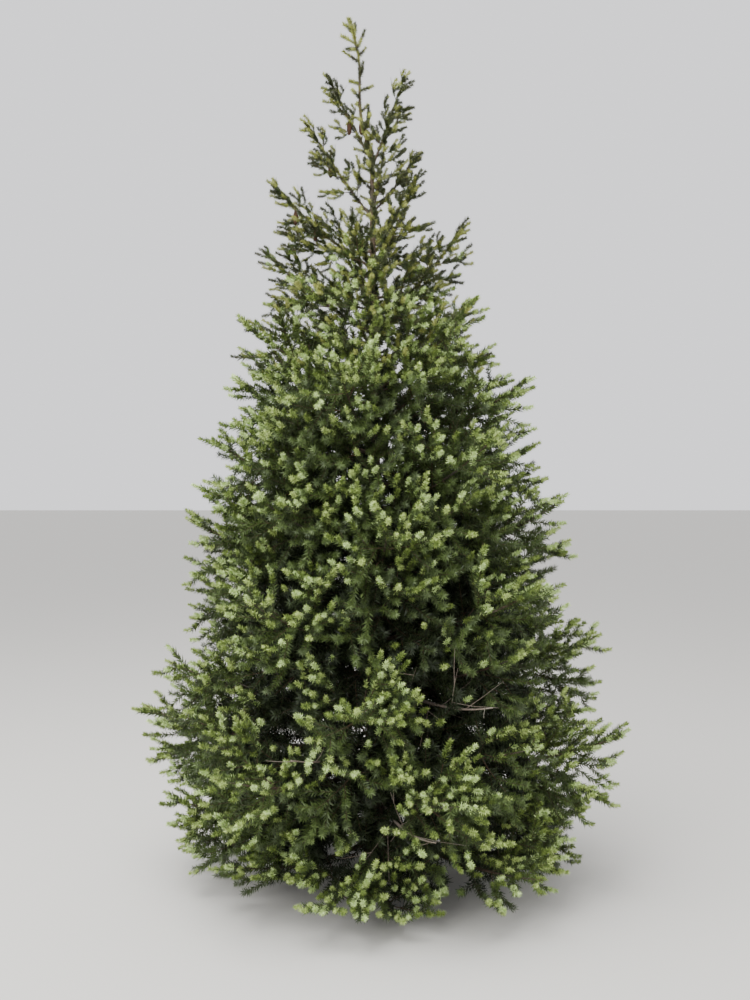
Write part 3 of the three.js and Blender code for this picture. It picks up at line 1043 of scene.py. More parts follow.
@dataclass
class Trunk:
    """The trunk, from the flat cut at the ground to its fork: tapered, flared, and rough with flakes.

    The flakes of its mesh are 22 mm wide, coarser than real ones, because finer ones would need many more
    faces. The bark's finish has those of the real width.
    """

    height: float = 3.12
    foot_radius: float = 0.044
    tip_radius: float = 0.008
    lean: float = -0.014
    flare_width: float = 0.026
    flare_height: float = 0.09
    lobes: int = 5
    lobe_depth: float = 0.3
    sides: int = 40
    rings: int = 300
    ring_gather: float = 1.15
    flake_width: float = 0.022
    flake_relief: float = 0.0012
    wave_width: float = 0.06
    wave_relief: float = 0.003
    collar_width: float = 0.03
    collar_relief: float = 0.004

    GROUND_CLEARANCE = 0.07
    LEAN_POWER = 3
    FLAKE_ROUGHNESS = 0.8
    FLAKE_STEP = 2.1
    FLAKE_OCTAVES = 4

    def point(self, share: float) -> np.ndarray:
        """Return a point of the trunk's middle line, which leans more and more towards the top."""
        return np.array((self.lean * share**self.LEAN_POWER, 0.0, self.height * share))

    def radius(self, height: float) -> float:
        """Return the radius above the flare at a height."""
        share = min(1.0, max(0.0, height / self.height))
        return self.foot_radius + (self.tip_radius - self.foot_radius) * share

    def near(self, point: np.ndarray, margin: float) -> bool:
        """Test whether a point lies close to the trunk.

        Args:
            point: The point.
            margin: How close to the trunk's surface counts, in metres.

        Returns:
            Whether it does.
        """
        if point[2] > self.height:
            return False
        middle = self.point(point[2] / self.height)
        reach = self.radius(point[2]) + margin
        return (point[0] - middle[0]) ** 2 + (point[1] - middle[1]) ** 2 < reach**2

    def relief(self, point: np.ndarray) -> float:
        """Give how far the bark stands out at a point of the trunk: flakes, waves, and the tiers' collars.

        Args:
            point: The point.

        Returns:
            The height of the relief in metres.
        """
        place = Vector(point)
        flakes = noise.fractal(
            place / self.flake_width, self.FLAKE_ROUGHNESS, self.FLAKE_STEP, self.FLAKE_OCTAVES
        )
        waves = noise.noise(place / self.wave_width)
        nearest = min(abs(point[2] - tier.height) for tier in TIERS)
        collar = math.exp(-((nearest / self.collar_width) ** 2))
        return self.flake_relief * flakes + self.wave_relief * waves + self.collar_relief * collar

    def ring(self, share: float) -> list[np.ndarray]:
        """Work out one ring of the trunk's skin.

        Args:
            share: Where on the middle line it lies.

        Returns:
            Its points.
        """
        middle = self.point(share)
        points = []
        for side in range(self.sides):
            angle = 2 * math.pi * side / self.sides
            lobe = 1 + self.lobe_depth * math.cos(self.lobes * angle)
            flare = self.flare_width * lobe * math.exp(-middle[2] / self.flare_height)
            radius = self.radius(middle[2]) + flare
            out = np.array((math.cos(angle), math.sin(angle), 0.0))
            relief = self.relief(middle + out * radius) * min(1.0, radius / self.foot_radius)
            points.append(middle + out * (radius + relief))
        return points

    def build(self) -> None:
        """Make the trunk as one closed mesh and hand it over."""
        rings = [self.ring((index / self.rings) ** self.ring_gather) for index in range(self.rings + 1)]
        points = [point for ring in rings for point in ring] + [self.point(0.0), self.point(1.0)]
        foot, top = len(points) - 2, len(points) - 1
        last = self.rings * self.sides
        faces = []
        for side in range(self.sides):
            after = (side + 1) % self.sides
            faces += [(foot, after, side), (top, last + side, last + after)]
            for low in range(0, last, self.sides):
                high = low + self.sides
                faces.append((low + side, low + after, high + after, high + side))
        mesh = face_mesh("trunk_bark", points, faces)
        mesh.shade_smooth()
        mesh.materials.append(TRUNK_BARK.material())
        piece = bpy.data.objects.new("trunk_bark", mesh)
        bpy.context.scene.collection.objects.link(piece)
        hand_over(piece, ["trunk"])


@dataclass
class Bough:
    """One bough, or the leader: its middle line and what its twigs need to know of it.

    The field bare is the share of it next to the trunk that has no twigs, and end_length is how much of its
    outer end has only fine twigs.
    """

    label: str
    number: int
    line: Line
    radius: float
    band: Band
    bare: float = 0.0
    end_length: float = 0.0
    is_leader: bool = False
    is_dead: bool = False

    TIP_SHARE = 0.16
    COLLAR_LENGTH = 0.022
    COLLAR_SHARE = 0.6

    def thickness(self, share: float, trunk_radius: float) -> float:
        """Work out the bough's radius, with a collar where it leaves the trunk.

        Args:
            share: Where on the bough.
            trunk_radius: The trunk's radius at its root.

        Returns:
            The radius.
        """
        away = max(0.0, share * self.line.length - trunk_radius)
        collar = self.COLLAR_SHARE * math.exp(-away / self.COLLAR_LENGTH)
        return self.radius * (1 - (1 - self.TIP_SHARE) * share) * (1 + collar)


@dataclass(frozen=True)
class Row:
    """A row of smaller boughs between those of a tier: their size against it, and how far above it."""

    tier: int
    share: float
    lift: float


# Tiers are counted from 0. The skirt hangs below the lowest tier, and each other row stands above its own.
SKIRT = Row(0, share=0.88, lift=-0.07)
LOW_ROWS = tuple(Row(tier, share=0.84, lift=0.11) for tier in range(5))
HIGH_ROWS = tuple(Row(tier, share=0.74, lift=0.11) for tier in range(5, 8))
ROWS = (SKIRT, *LOW_ROWS, *HIGH_ROWS)


@dataclass(frozen=True)
class DeadBough:
    """A dead bough that shows between the live ones in front. Its turn is a compass angle in degrees."""

    turn: float
    height: float
    side: Side


DEAD_BOUGHS = (
    DeadBough(285.0, 0.44, Side(0.84, -0.02)),
    DeadBough(304.0, 0.86, Side(0.78, 0.0)),
    DeadBough(246.0, 0.64, Side(0.76, 0.04)),
)


@dataclass
class Framework:
    """The boughs in their tiers and the leader at the top, as in the solids, and smaller boughs besides.

    Boughs are numbered, and each one's seeded variations follow its number. The fields that end in numbers
    are the first numbers of the rows, of the dead boughs and of the inner ones.
    """

    trunk: Trunk
    numbers_per_tier: int = 8
    height_scatter: float = 0.022
    turn_scatter: float = 8.0
    bow: float = 0.05
    sag: float = 0.28
    radius_share: float = 0.0145
    radius_least: float = 0.005
    bare_tiers: int = 3
    bare_share: float = 0.3
    end_share: float = 0.3
    row_numbers: int = 200
    dead_numbers: int = 300
    inner_numbers: int = 400
    inner_foot: float = 0.14
    inner_top: float = 2.75
    inner_step: float = 0.05
    inner_share: float = 0.64
    inner_scatter: float = 0.2
    inner_rise: float = 0.25
    dead_top: float = 0.75
    dead_every: int = 3
    leader_number: int = 99
    leader_height: float = 0.586
    leader_sunk: float = 0.012
    leader_lean: float = -0.104
    leader_wave: float = 0.018

    LETTERS = "abcde"

    def bough_line(self, root: np.ndarray, turn: float, side: Side, bow: float) -> Line:
        """Make a bough's line, which sags on its way and turns up at its tip.

        Args:
            root: Its root in the trunk's middle.
            turn: Its compass angle in radians.
            side: Its reach and rise.
            bow: How far it bends sideways, as a share of its reach.

        Returns:
            The line.
        """
        cosine, sine = math.cos(turn), math.sin(turn)

        def place(share: float) -> np.ndarray:
            """Work out a point of the bough's middle line.

            Args:
                share: Where on the line it lies, from 0 to 1.

            Returns:
                The point.
            """
            out = side.reach * share
            aside = side.reach * bow * math.sin(math.pi * share)
            height = side.rise * share - self.sag * side.reach * share * (1 - share)
            return root + np.array((out * cosine - aside * sine, out * sine + aside * cosine, height))

        return Line(place)

    def bough(self, label: str, number: int, height: float, turn: float, side: Side, band: Band) -> Bough:
        """Make one bough.

        Args:
            label: Its label.
            number: Its number, which its seeded variations follow.
            height: Where it leaves the trunk.
            turn: Its compass angle in radians.
            side: Its reach and rise.
            band: The band that it belongs to.

        Returns:
            The bough.
        """
        root = self.trunk.point(height / self.trunk.height)
        line = self.bough_line(root, turn, side, self.bow * scatter(number, Draw.BOW))
        radius = max(self.radius_least, self.radius_share * side.reach)
        return Bough(label, number, line, radius, band, end_length=self.end_share * line.length)

    def leader(self) -> Bough:
        """Make the leader, which leans to the left with one wave in it.

        Returns:
            The leader.
        """

        def place(share: float) -> np.ndarray:
            """Work out a point of the leader's middle line.

            Args:
                share: Where on the line it lies, from 0 to 1.

            Returns:
                The point.
            """
            wave = self.leader_wave * math.sin(2 * math.pi * share)
            start = self.trunk.height - self.leader_sunk
            x = self.trunk.lean + self.leader_lean * share - wave
            return np.array((x, 0.0, start + self.leader_height * share))

        line, number, radius = Line(place), self.leader_number, self.trunk.tip_radius
        return Bough("leader", number, line, radius, Band.HIGH, is_leader=True)

    def tier_boughs(self) -> list[Bough]:
        """Make every bough of the solids from the ground up, and the leader last.

        Returns:
            The boughs.
        """
        boughs = []
        for index, tier in enumerate(TIERS):
            for place, degrees in enumerate(tier.turns):
                number = index * self.numbers_per_tier + place
                turn = math.radians(degrees)
                height = tier.height + self.height_scatter * scatter(number, Draw.HEIGHT)
                label = f"{index + 1}{self.LETTERS[place]}"
                bough = self.bough(label, number, height, turn, tier.side(turn), Band.of_tier(index))
                if index < self.bare_tiers:
                    bough.bare = self.bare_share
                boughs.append(bough)
        return [*boughs, self.leader()]

    def row_boughs(self, row: Row, first_number: int) -> list[Bough]:
        """Make the smaller boughs of one row, each about halfway between two of its tier.

        Args:
            row: The row.
            first_number: The number of its first bough.

        Returns:
            The boughs.
        """
        tier = TIERS[row.tier]
        turns = sorted(tier.turns)
        boughs = []
        for number, (low, high) in enumerate(zip(turns, [*turns[1:], turns[0] + FULL_TURN]), first_number):
            degrees = (low + high) / 2 + self.turn_scatter * scatter(number, Draw.TURN)
            near = tier.side(math.radians(degrees))
            side = Side(row.share * near.reach, row.share * near.rise)
            height = tier.height + row.lift + self.height_scatter * scatter(number, Draw.HEIGHT)
            band = Band.of_tier(row.tier)
            boughs.append(self.bough(f"between_{number}", number, height, math.radians(degrees), side, band))
        return boughs

    def dead_boughs(self) -> list[Bough]:
        """Make the dead boughs that show in front.

        Returns:
            The boughs.
        """
        boughs = []
        for number, dead in enumerate(DEAD_BOUGHS, self.dead_numbers):
            turn = math.radians(dead.turn)
            bough = self.bough(f"dead_{number}", number, dead.height, turn, dead.side, Band.LOW)
            bough.is_dead = True
            boughs.append(bough)
        return boughs

    def inner_boughs(self) -> list[Bough]:
        """Make the short boughs of the shaded inside, which grow in a spiral up the trunk.

        Returns:
            The boughs. Below dead_top, one in dead_every is dead, because no light reaches it.
        """
        boughs = []
        for index in range(round((self.inner_top - self.inner_foot) / self.inner_step)):
            number = self.inner_numbers + index
            height = self.inner_foot + self.inner_step * index
            turn = index * GOLDEN_ANGLE
            away = np.array((math.cos(turn), math.sin(turn), height))
            variation = 1 + self.inner_scatter * scatter(number, Draw.REACH)
            reach = self.inner_share * reach_at(away) * variation
            side = Side(reach, self.inner_rise * reach)
            bough = self.bough(f"inner_{number}", number, height, turn, side, Band.of_height(height))
            bough.radius = self.radius_least
            bough.is_dead = height < self.dead_top and index % self.dead_every == 0
            boughs.append(bough)
        return boughs

    def outer_boughs(self) -> list[Bough]:
        """Make the boughs of every tier and the leader, the smaller ones between them, and the dead ones.

        Returns:
            The boughs.
        """
        boughs = self.tier_boughs()
        for index, row in enumerate(ROWS):
            boughs += self.row_boughs(row, self.row_numbers + index * self.numbers_per_tier)
        return boughs + self.dead_boughs()


class Spaces:
    """The spaces round the limbs. A point belongs to the limb whose middle line is nearest."""

    STEPS = 12
    TRUNK_MARGIN = 0.012

    def __init__(self, lines: list[Line], trunk: Trunk) -> None:
        """Keep the limbs' lines as short straight stretches.

        Args:
            lines: The middle line of each limb.
            trunk: The trunk, which nothing may touch.
        """
        routes = [line.points(self.STEPS + 1) for line in lines]
        self.starts = np.concatenate([route[:-1] for route in routes])
        self.spans = np.concatenate([np.diff(route, axis=0) for route in routes])
        self.squares = (self.spans**2).sum(axis=1)
        self.firsts = np.arange(len(routes)) * self.STEPS
        self.trunk = trunk

    def holds(self, owner: int, point: np.ndarray, crossing: float) -> bool:
        """Test whether a point lies in a limb's space.

        Args:
            owner: The limb's number in the list of lines.
            point: The point.
            crossing: How far past the border it may lie, in metres.

        Returns:
            Whether it does.
        """
        if point[2] < self.trunk.GROUND_CLEARANCE or self.trunk.near(point, self.TRUNK_MARGIN):
            return False
        away = point - self.starts
        share = np.clip((away * self.spans).sum(axis=1) / self.squares, 0, 1)
        square = ((away - self.spans * share[:, None]) ** 2).sum(axis=1)
        distances = np.sqrt(np.minimum.reduceat(square, self.firsts))
        return bool(distances[owner] - distances.min() <= crossing)


class BrushPlace(NamedTuple):
    """Where one brush of needles goes."""

    start: np.ndarray
    aim: np.ndarray
    side: np.ndarray
    size: tuple[float, float, float]


@dataclass
class Growth:
    """What the tree grows: the wood of its twigs and the places of its needle brushes.

    The wood is kept by its band and by whether it is dead, and the brushes by their band and their finish.
    """

    wood: dict[tuple[Band, bool], list[tuple[np.ndarray, np.ndarray]]] = field(
        default_factory=lambda: defaultdict(list)
    )
    brushes: dict[tuple[Band, str], list[BrushPlace]] = field(default_factory=lambda: defaultdict(list))
    count: int = 0

    TOP_FROM = 2.4
    TOP_SCATTER = 0.3
    WIDTH_SCATTER = 0.12

    def add_twig(
        self, bough: Bough, root: np.ndarray, direction: np.ndarray, length: float, form: TwigForm
    ) -> Line:
        """Grow the wood of one twig.

        Args:
            bough: The bough that it belongs to.
            root: Its root.
            direction: Its unit direction.
            length: Its length in metres.
            form: How it bends and how thick it is.

        Returns:
            Its middle line.
        """
        line = Line.bent(root, direction, length, form)
        radii = np.linspace(form.radius + form.thickening * length, form.tip_radius, form.marks)
        self.wood[bough.band, bough.is_dead].append((line.points(form.marks), radii))
        return line

    def age_and_light_at(self, age: Age, start: np.ndarray, end: np.ndarray) -> Age:
        """Change the age of a brush for where it is.

        Args:
            age: The age of its needles by the twig's own rule.
            start: Where the brush starts.
            end: Where it ends.

        Returns:
            The age that it gets: new needles are the top's own up there, and old ones near the outside get
            last year's lighter tints, partly for their younger wood and partly as painted light where light
            reaches them.
        """
        # Up high, new shoots take the top's tints, whose olive one is painted shade.
        if age is Age.NEW and start[2] > self.TOP_FROM + self.TOP_SCATTER * scatter(self.count, Draw.TOP):
            return Age.TOP
        # Near the outside, old needles take last year's lighter tints, partly as painted light.
        if age is Age.OLD and share_of_reach(end) > LIT_LAST_YEAR_FROM.at(end[2]):
            return Age.LAST
        return age

    def add_brush(self, band: Band, age: Age, start: np.ndarray, end: np.ndarray, fullness: float) -> None:
        """Keep the place of a brush of needles, and deal it a tint.

        Args:
            band: The band of the tree that it belongs to.
            age: The age of its needles.
            start: Where the brush starts on its twig.
            end: Where it ends.
            fullness: How far its needles stand out, 1 for a full brush.
        """
        self.count += 1
        age = self.age_and_light_at(age, start, end)
        length = math.dist(start, end)
        aim = (end - start) / length
        side = Axes.along(aim).rolled(math.pi * scatter(self.count, Draw.BRUSH_ROLL)).side
        vigour = 1.0 if age in (Age.NEW, Age.TOP) else NEEDLE_VIGOUR.at(start[2])
        width = fullness * vigour * (1 + self.WIDTH_SCATTER * scatter(self.count, Draw.BRUSH_WIDTH))
        tints = [finish for finish in NEEDLES if finish.age is age]
        shares = np.cumsum([tint.share for tint in tints])[:-1]
        tint = tints[int(np.searchsorted(shares, (scatter(self.count, Draw.TINT) + 1) / 2))]
        size = (width, width, length / BRUSHES[age].length)
        self.brushes[band, tint.name].append(BrushPlace(start, aim, side, size))

    def add_brushes(self, band: Band, age: Age, marks: np.ndarray, fullness: float = 1.0) -> None:
        """Set a brush between each two points of a row, as add_brush does."""
        for start, end in zip(marks, marks[1:]):
            self.add_brush(band, age, start, end, fullness)


@dataclass(frozen=True)
class SideTwigs:
    """How side twigs leave a bough, as in the solids, and smaller ones between. Angles are in degrees."""

    first_share: float = 0.16
    spacing: float = 0.119
    between_step: float = 1.0
    level_step: float = 0.75
    least: int = 3
    angle: float = 52.0
    angle_scatter: float = 6.0
    rise: float = 48.0
    drop: float = 34.0
    level_lift: float = 6.0
    hanging_drop: float = 68.0
    roll_scatter: float = 14.0
    length_share: float = 0.52
    length_least: float = 0.15
    length_most: float = 0.43
    between_size: float = 0.9
    needles_from: float = 0.2
    plane_roll: float = 45.0
    plane_scatter: float = 16.0


@dataclass(frozen=True)
class FineTwigs:
    """How fine twigs leave a side twig, closer where they reach the outside. Angles are in degrees."""

    first_share: float = 0.12
    spacing: float = 0.046
    inner_spacing: float = 0.085
    probe_share: float = 0.7
    dense_from: float = 0.62
    angle: float = 47.0
    angle_scatter: float = 8.0
    roll_scatter: float = 50.0
    length_share: float = 0.55
    length_least: float = 0.08
    length_most: float = 0.23
    needles_from: float = 0.05
    fullness: float = 0.95
    dead_step: int = 3


@dataclass(frozen=True)
class NewShoots:
    """This spring's shoots, short, at the twigs' ends and along them in the light. Angles are in degrees."""

    first_share: float = 0.12
    spacing: float = 0.062
    offset: float = 0.6
    angle: float = 55.0
    angle_scatter: float = 12.0
    roll: float = 15.0
    roll_scatter: float = 25.0
    length_share: float = 0.42
    shortest: float = 0.03
    longest: float = 0.038
    length_scatter: float = 0.15
    pull: float = 1.0
    lit_share: float = 0.66
    edge_share: float = 0.9
    underside: float = 0.02
    open_from: float = 2.1

    def length(self, twig: float) -> float:
        """Return how much of a twig of some length is its new shoot."""
        return min(twig, max(self.shortest, min(self.longest, self.length_share * twig)))

    def border(self, line: Line) -> float:
        """Return the share of a twig where its new shoot starts."""
        return 1 - self.length(line.length) / line.length


@dataclass(frozen=True)
class StemShoots:
    """The shoots of upright stems: the leader, and the trunk's young top. Angles are in degrees."""

    spacing: float = 0.031
    trunk_spacing: float = 0.0155
    trunk_from: float = 2.1
    length: float = 0.078
    shorter: float = 0.35
    angle: float = 66.0
    roll_scatter: float = 12.0
    needles_from: float = 0.05
    shoot_brushes: int = 2
    stem_brush: float = 0.03
    fullness: float = 1.1
    top_share: float = 0.78
    top_step: float = 0.03
    top_count: int = 5
    top_length: float = 0.085
    top_angle: float = 42.0


@dataclass
class TwigGrower:
    """Grows twigs on boughs by the solids' seeded rule, and carries it on to finer twigs and shoots.

    A bough's twigs are numbered on from its own number, in runs: BETWEEN_RUN and LEVEL_RUN are the first of
    the twigs between the solids' ones, and SPRAY_INDEX is the bough's outer end.
    """

    growth: Growth
    spaces: Spaces
    sides: SideTwigs = SideTwigs()
    fines: FineTwigs = FineTwigs()
    shoots: NewShoots = NewShoots()
    stems: StemShoots = StemShoots()

    SHORTER = (1.0, 0.82, 0.66, 0.5)
    PROBE_SHARES = (1.0, 0.6)
    CROSSING = 0.08
    FINE_CROSSING = 0.16
    NUMBERS_PER_BOUGH = 97
    NUMBERS_PER_TWIG = 31
    BETWEEN_RUN = 21
    LEVEL_RUN = 42
    SPRAY_INDEX = 60
    LEAST_OLD_SHARE = 0.02
    INNER_BARE = 0.35
    HIGH_INNER_BARE = 0.1
    END_FULLNESS = 1.05
    SPRAY_ROLL = 0.3

    def fitted(
        self, owner: int, root: np.ndarray, direction: np.ndarray, wished: float, crossing: float
    ) -> float:
        """Find the longest form of a twig that keeps to its bough's space.

        Args:
            owner: The bough's number in the list.
            root: The twig's root.
            direction: Its unit direction.
            wished: The length it would like.
            crossing: How far it may pass the border of its space.

        Returns:
            Its length, or 0 where none fits.
        """
        for length in (wished * share for share in self.SHORTER):
            probes = [root + direction * (length * share) for share in self.PROBE_SHARES]
            if all(self.spaces.holds(owner, probe, crossing) for probe in probes):
                return length
        return 0.0

    def needles(self, bough: Bough, line: Line, bare: float, fullness: float = 1.0) -> None:
        """Set needles on a twig: old ones on its wood, and new ones on its shoot.

        Args:
            bough: The bough that it belongs to.
            line: The twig's line.
            bare: The share of it, from its root, that has none.
            fullness: How far they stand out.
        """
        if bough.is_dead:
            return
        border = self.shoots.border(line)
        if border > bare + self.LEAST_OLD_SHARE:
            count = max(1, round((border - bare) * line.length / BRUSHES[Age.OLD].length))
            self.growth.add_brushes(bough.band, Age.OLD, line.points(count + 1, bare, border), fullness)
        length = self.shoots.length(line.length)
        self.new_shoot(bough, line.point(border), line.axes(1.0).tangent, length, fullness)

    def is_lit(self, bough: Bough, point: np.ndarray) -> bool:
        """Test whether a point sees the sky: far enough out, and above its bough unless at the very edge.

        High up, and on the leader, every point does.

        Args:
            bough: The bough.
            point: The point.

        Returns:
            Whether it does.
        """
        if bough.is_leader or point[2] > self.shoots.open_from:
            return True
        share = share_of_reach(point)
        if share < self.shoots.lit_share or share > self.shoots.edge_share:
            return share > self.shoots.edge_share
        tip = bough.line.point(1.0)
        along = min(1.0, math.hypot(point[0], point[1]) / math.hypot(tip[0], tip[1]))
        return bool(point[2] > bough.line.point(along)[2] - self.shoots.underside)

    def new_shoot(
        self,
        bough: Bough,
        root: np.ndarray,
        direction: np.ndarray,
        length: float,
        fullness: float,
        is_tip: bool = True,
    ) -> None:
        """Set one new shoot, which bends from its own direction towards the outside.

        Args:
            bough: The bough that it belongs to.
            root: Its root.
            direction: The direction of the twig that it grows on.
            length: Its length in metres.
            fullness: How far its needles stand out.
            is_tip: Whether it ends its twig. There, where no light reaches it, it gets dark old needles as
                painted shade.
        """
        end = root + unit(direction + outwards(root) * self.shoots.pull) * length
        if end[2] < Trunk.GROUND_CLEARANCE:
            return
        # A lit shoot is pale. An unlit tip shoot gets dark old needles instead, as painted shade.
        if self.is_lit(bough, end):
            self.growth.add_brush(bough.band, Age.NEW, root, end, fullness)
        elif is_tip:
            self.growth.add_brush(bough.band, Age.OLD, root, end, fullness)

    def side_shoots(self, bough: Bough, line: Line, axes: Axes, number: int, fullness: float = 1.0) -> None:
        """Set short new shoots along a twig, to the left and the right in turn.

        Args:
            bough: The bough that they belong to.
            line: The twig's line.
            axes: Axes whose side is the spray's own plane.
            number: The twig's number, which the seeded variations follow.
            fullness: How far their needles stand out.
        """
        if bough.is_dead:
            return
        rule = self.shoots
        border = rule.border(line)
        spacing = rule.spacing * TWIG_SIZE.at(line.point(HALF_WAY)[2])
        for index in range(math.floor((border - rule.first_share) * line.length / spacing)):
            share = border - (index + rule.offset) * spacing / line.length
            hand = 1 if (number + index) % 2 == 0 else -1
            angle = rule.angle + rule.angle_scatter * scatter(number, Draw.SHOOT_ANGLE + index)
            roll = rule.roll + rule.roll_scatter * scatter(number, Draw.SHOOT_ROLL + index)
            length = rule.shortest * (1 + rule.length_scatter * scatter(number, Draw.SHOOT_LENGTH + index))
            direction = axes.leaning(hand, math.radians(angle), math.radians(roll))
            self.new_shoot(bough, line.point(share), direction, length, fullness, is_tip=False)

    def fine_twigs(self, bough: Bough, owner: int, parent: Line, plane: Axes, number: int) -> None:
        """Grow the fine twigs of a side twig, to the left and the right in turn, and their shoots.

        Args:
            bough: The bough that they belong to.
            owner: Its number in the list.
            parent: The side twig's line.
            plane: Axes whose side is the spray's own plane.
            number: The side twig's number.
        """
        rule = self.fines
        outer = parent.point(rule.probe_share)
        size = TWIG_SIZE.at(outer[2])
        spacing = size * (rule.spacing if share_of_reach(outer) > rule.dense_from else rule.inner_spacing)
        span = self.shoots.border(parent) - rule.first_share
        count = max(1, round(span * parent.length / spacing))
        for index in range(0, count, rule.dead_step if bough.is_dead else 1):
            share = rule.first_share + span * (index + HALF_WAY) / count
            hand = 1 if index % 2 == 0 else -1
            angle = math.radians(rule.angle + rule.angle_scatter * scatter(number, Draw.ANGLE + index))
            roll = math.radians(rule.roll_scatter * scatter(number, Draw.ROLL + index))
            direction = plane.leaning(hand, angle, roll)
            left = (1 - share) * parent.length
            wished = size * min(rule.length_most, rule.length_least + rule.length_share * left)
            root = parent.point(share)
            length = self.fitted(owner, root, direction, wished, self.FINE_CROSSING)
            if length:
                line = self.growth.add_twig(bough, root, direction, length, FINE_TWIG)
                self.needles(bough, line, rule.needles_from)
                axes = Axes(line.axes(HALF_WAY).tangent, plane.side, plane.above)
                self.side_shoots(bough, line, axes, number * self.NUMBERS_PER_TWIG + index, rule.fullness)

    def side_twig(self, bough: Bough, owner: int, share: float, index: int, lift: float, size: float) -> None:
        """Grow one side twig of a bough with everything on it.

        Args:
            bough: The bough.
            owner: Its number in the list.
            share: Where on the bough the twig roots.
            index: The twig's running number, which its seeded variations follow.
            lift: How far it leaves above the level, in degrees.
            size: Its size against the rule's.
        """
        rule = self.sides
        number = bough.number
        hand = 1 if index % 2 == 0 else -1
        angle = math.radians(rule.angle + rule.angle_scatter * scatter(number, Draw.ANGLE + index))
        roll = math.radians(lift + rule.roll_scatter * scatter(number, Draw.ROLL + index))
        direction = bough.line.axes(share).leaning(hand, angle, roll)
        left = (1 - share) * bough.line.length
        root = bough.line.point(share)
        wished = size * min(rule.length_most, rule.length_least + rule.length_share * left)
        length = self.fitted(owner, root, direction, wished * TWIG_SIZE.at(root[2]), self.CROSSING)
        if not length:
            return
        line = self.growth.add_twig(bough, root, direction, length, SIDE_TWIG)
        turn = hand * rule.plane_roll + rule.plane_scatter * scatter(number, Draw.PLANE + index)
        plane = Axes.along(direction).rolled(math.radians(turn))
        twig_number = number * self.NUMBERS_PER_BOUGH + index
        self.needles(bough, line, rule.needles_from)
        self.side_shoots(bough, line, plane, twig_number)
        self.fine_twigs(bough, owner, line, plane, twig_number)

    def bough_twigs(self, bough: Bough, owner: int) -> None:
        """Grow the side twigs of one bough. By turns, a left and a right one rise and the next two drop.

        Args:
            bough: The bough.
            owner: Its number in the list.
        """
        rule = self.sides
        first = max(bough.bare, rule.first_share)
        last = 1 - bough.end_length / bough.line.length
        count = max(rule.least, round((1 - first) * bough.line.length / rule.spacing))
        step = (last - first) / count
        for index in range(count):
            rises = index // 2 % 2 == 0
            lift, opposite = (rule.rise, -rule.drop) if rises else (-rule.drop, rule.rise)
            self.side_twig(bough, owner, first + step * (index + HALF_WAY), index, lift, size=1.0)
            if bough.is_dead:
                continue
            between = index + self.BETWEEN_RUN
            share = first + step * (index + rule.between_step)
            self.side_twig(bough, owner, share, between, opposite, rule.between_size)
            if bough.band is not Band.HIGH:
                level = index + self.LEVEL_RUN
                share = first + step * (index + rule.level_step)
                lift = rule.level_lift if index % 2 == 0 else -rule.hanging_drop
                self.side_twig(bough, owner, share, level, lift, rule.between_size)
        if bough.band is Band.HIGH:
            plane = Axes.along(bough.line.axes(HALF_WAY).tangent)
            self.side_shoots(bough, bough.line, plane, bough.number)
            self.side_shoots(bough, bough.line, plane.rolled(math.pi / 2), bough.number + 1)
        self.end_spray(bough, owner, last)

    def end_spray(self, bough: Bough, owner: int, start: float) -> None:
        """Grow the outer end of a bough, where fine twigs branch straight from it, and its own needles.

        Args:
            bough: The bough.
            owner: Its number in the list.
            start: The share of the bough where its outer end starts.
        """
        line = bough.line
        tail = Line(lambda share: line.point(start + (1 - start) * share))
        roll = self.SPRAY_ROLL * scatter(bough.number, Draw.SPRAY)
        plane = Axes.along(tail.axes(HALF_WAY).tangent).rolled(roll)
        self.needles(bough, tail, 0.0, self.END_FULLNESS)
        self.side_shoots(bough, tail, plane, bough.number)
        self.fine_twigs(bough, owner, tail, plane, bough.number * self.NUMBERS_PER_BOUGH + self.SPRAY_INDEX)
        if bough.is_dead:
            return
        bare = self.HIGH_INNER_BARE if bough.band is Band.HIGH else self.INNER_BARE
        count = max(1, round((start - bare) * line.length / BRUSHES[Age.OLD].length))
        self.growth.add_brushes(bough.band, Age.OLD, line.points(count + 1, bare, start))

    def stem_shoot(self, bough: Bough, root: np.ndarray, direction: np.ndarray, length: float) -> None:
        """Grow one shoot of an upright stem, with needles along its whole length.

        Args:
            bough: The leader, which the shoot counts as a part of.
            root: The shoot's root.
            direction: Its unit direction.
            length: Its length in metres.
        """
        line = self.growth.add_twig(bough, root, direction, length, STEM_TWIG)
        marks = line.points(self.stems.shoot_brushes + 1, self.stems.needles_from)
        self.growth.add_brushes(bough.band, Age.TOP, marks, self.stems.fullness)

    def spiral_shoots(
        self, bough: Bough, line: Line, number: int, first: float, height: float, spacing: float
    ) -> None:
        """Grow short shoots in a spiral up an upright stem, and needles on the stem itself.

        Args:
            bough: The leader, which the shoots count as parts of.
            line: The stem's line.
            number: A number that the seeded variations follow.
            first: The share of the stem where the first shoot roots.
            height: How much of the stem's length carries shoots.
            spacing: How far apart the shoots root.
        """
        rule = self.stems
        for index in range(math.floor(height / spacing)):
            share = first + (index + 1) * spacing / line.length
            roll = index * GOLDEN_ANGLE + math.radians(rule.roll_scatter * scatter(number, index))
            direction = line.axes(share).leaning(1, math.radians(rule.angle), roll)
            length = rule.length * (1 - rule.shorter * (index % 2))
            self.stem_shoot(bough, line.point(share), direction, length)
        count = round((1 - first) * line.length / rule.stem_brush)
        self.growth.add_brushes(bough.band, Age.TOP, line.points(count + 1, first), rule.fullness)

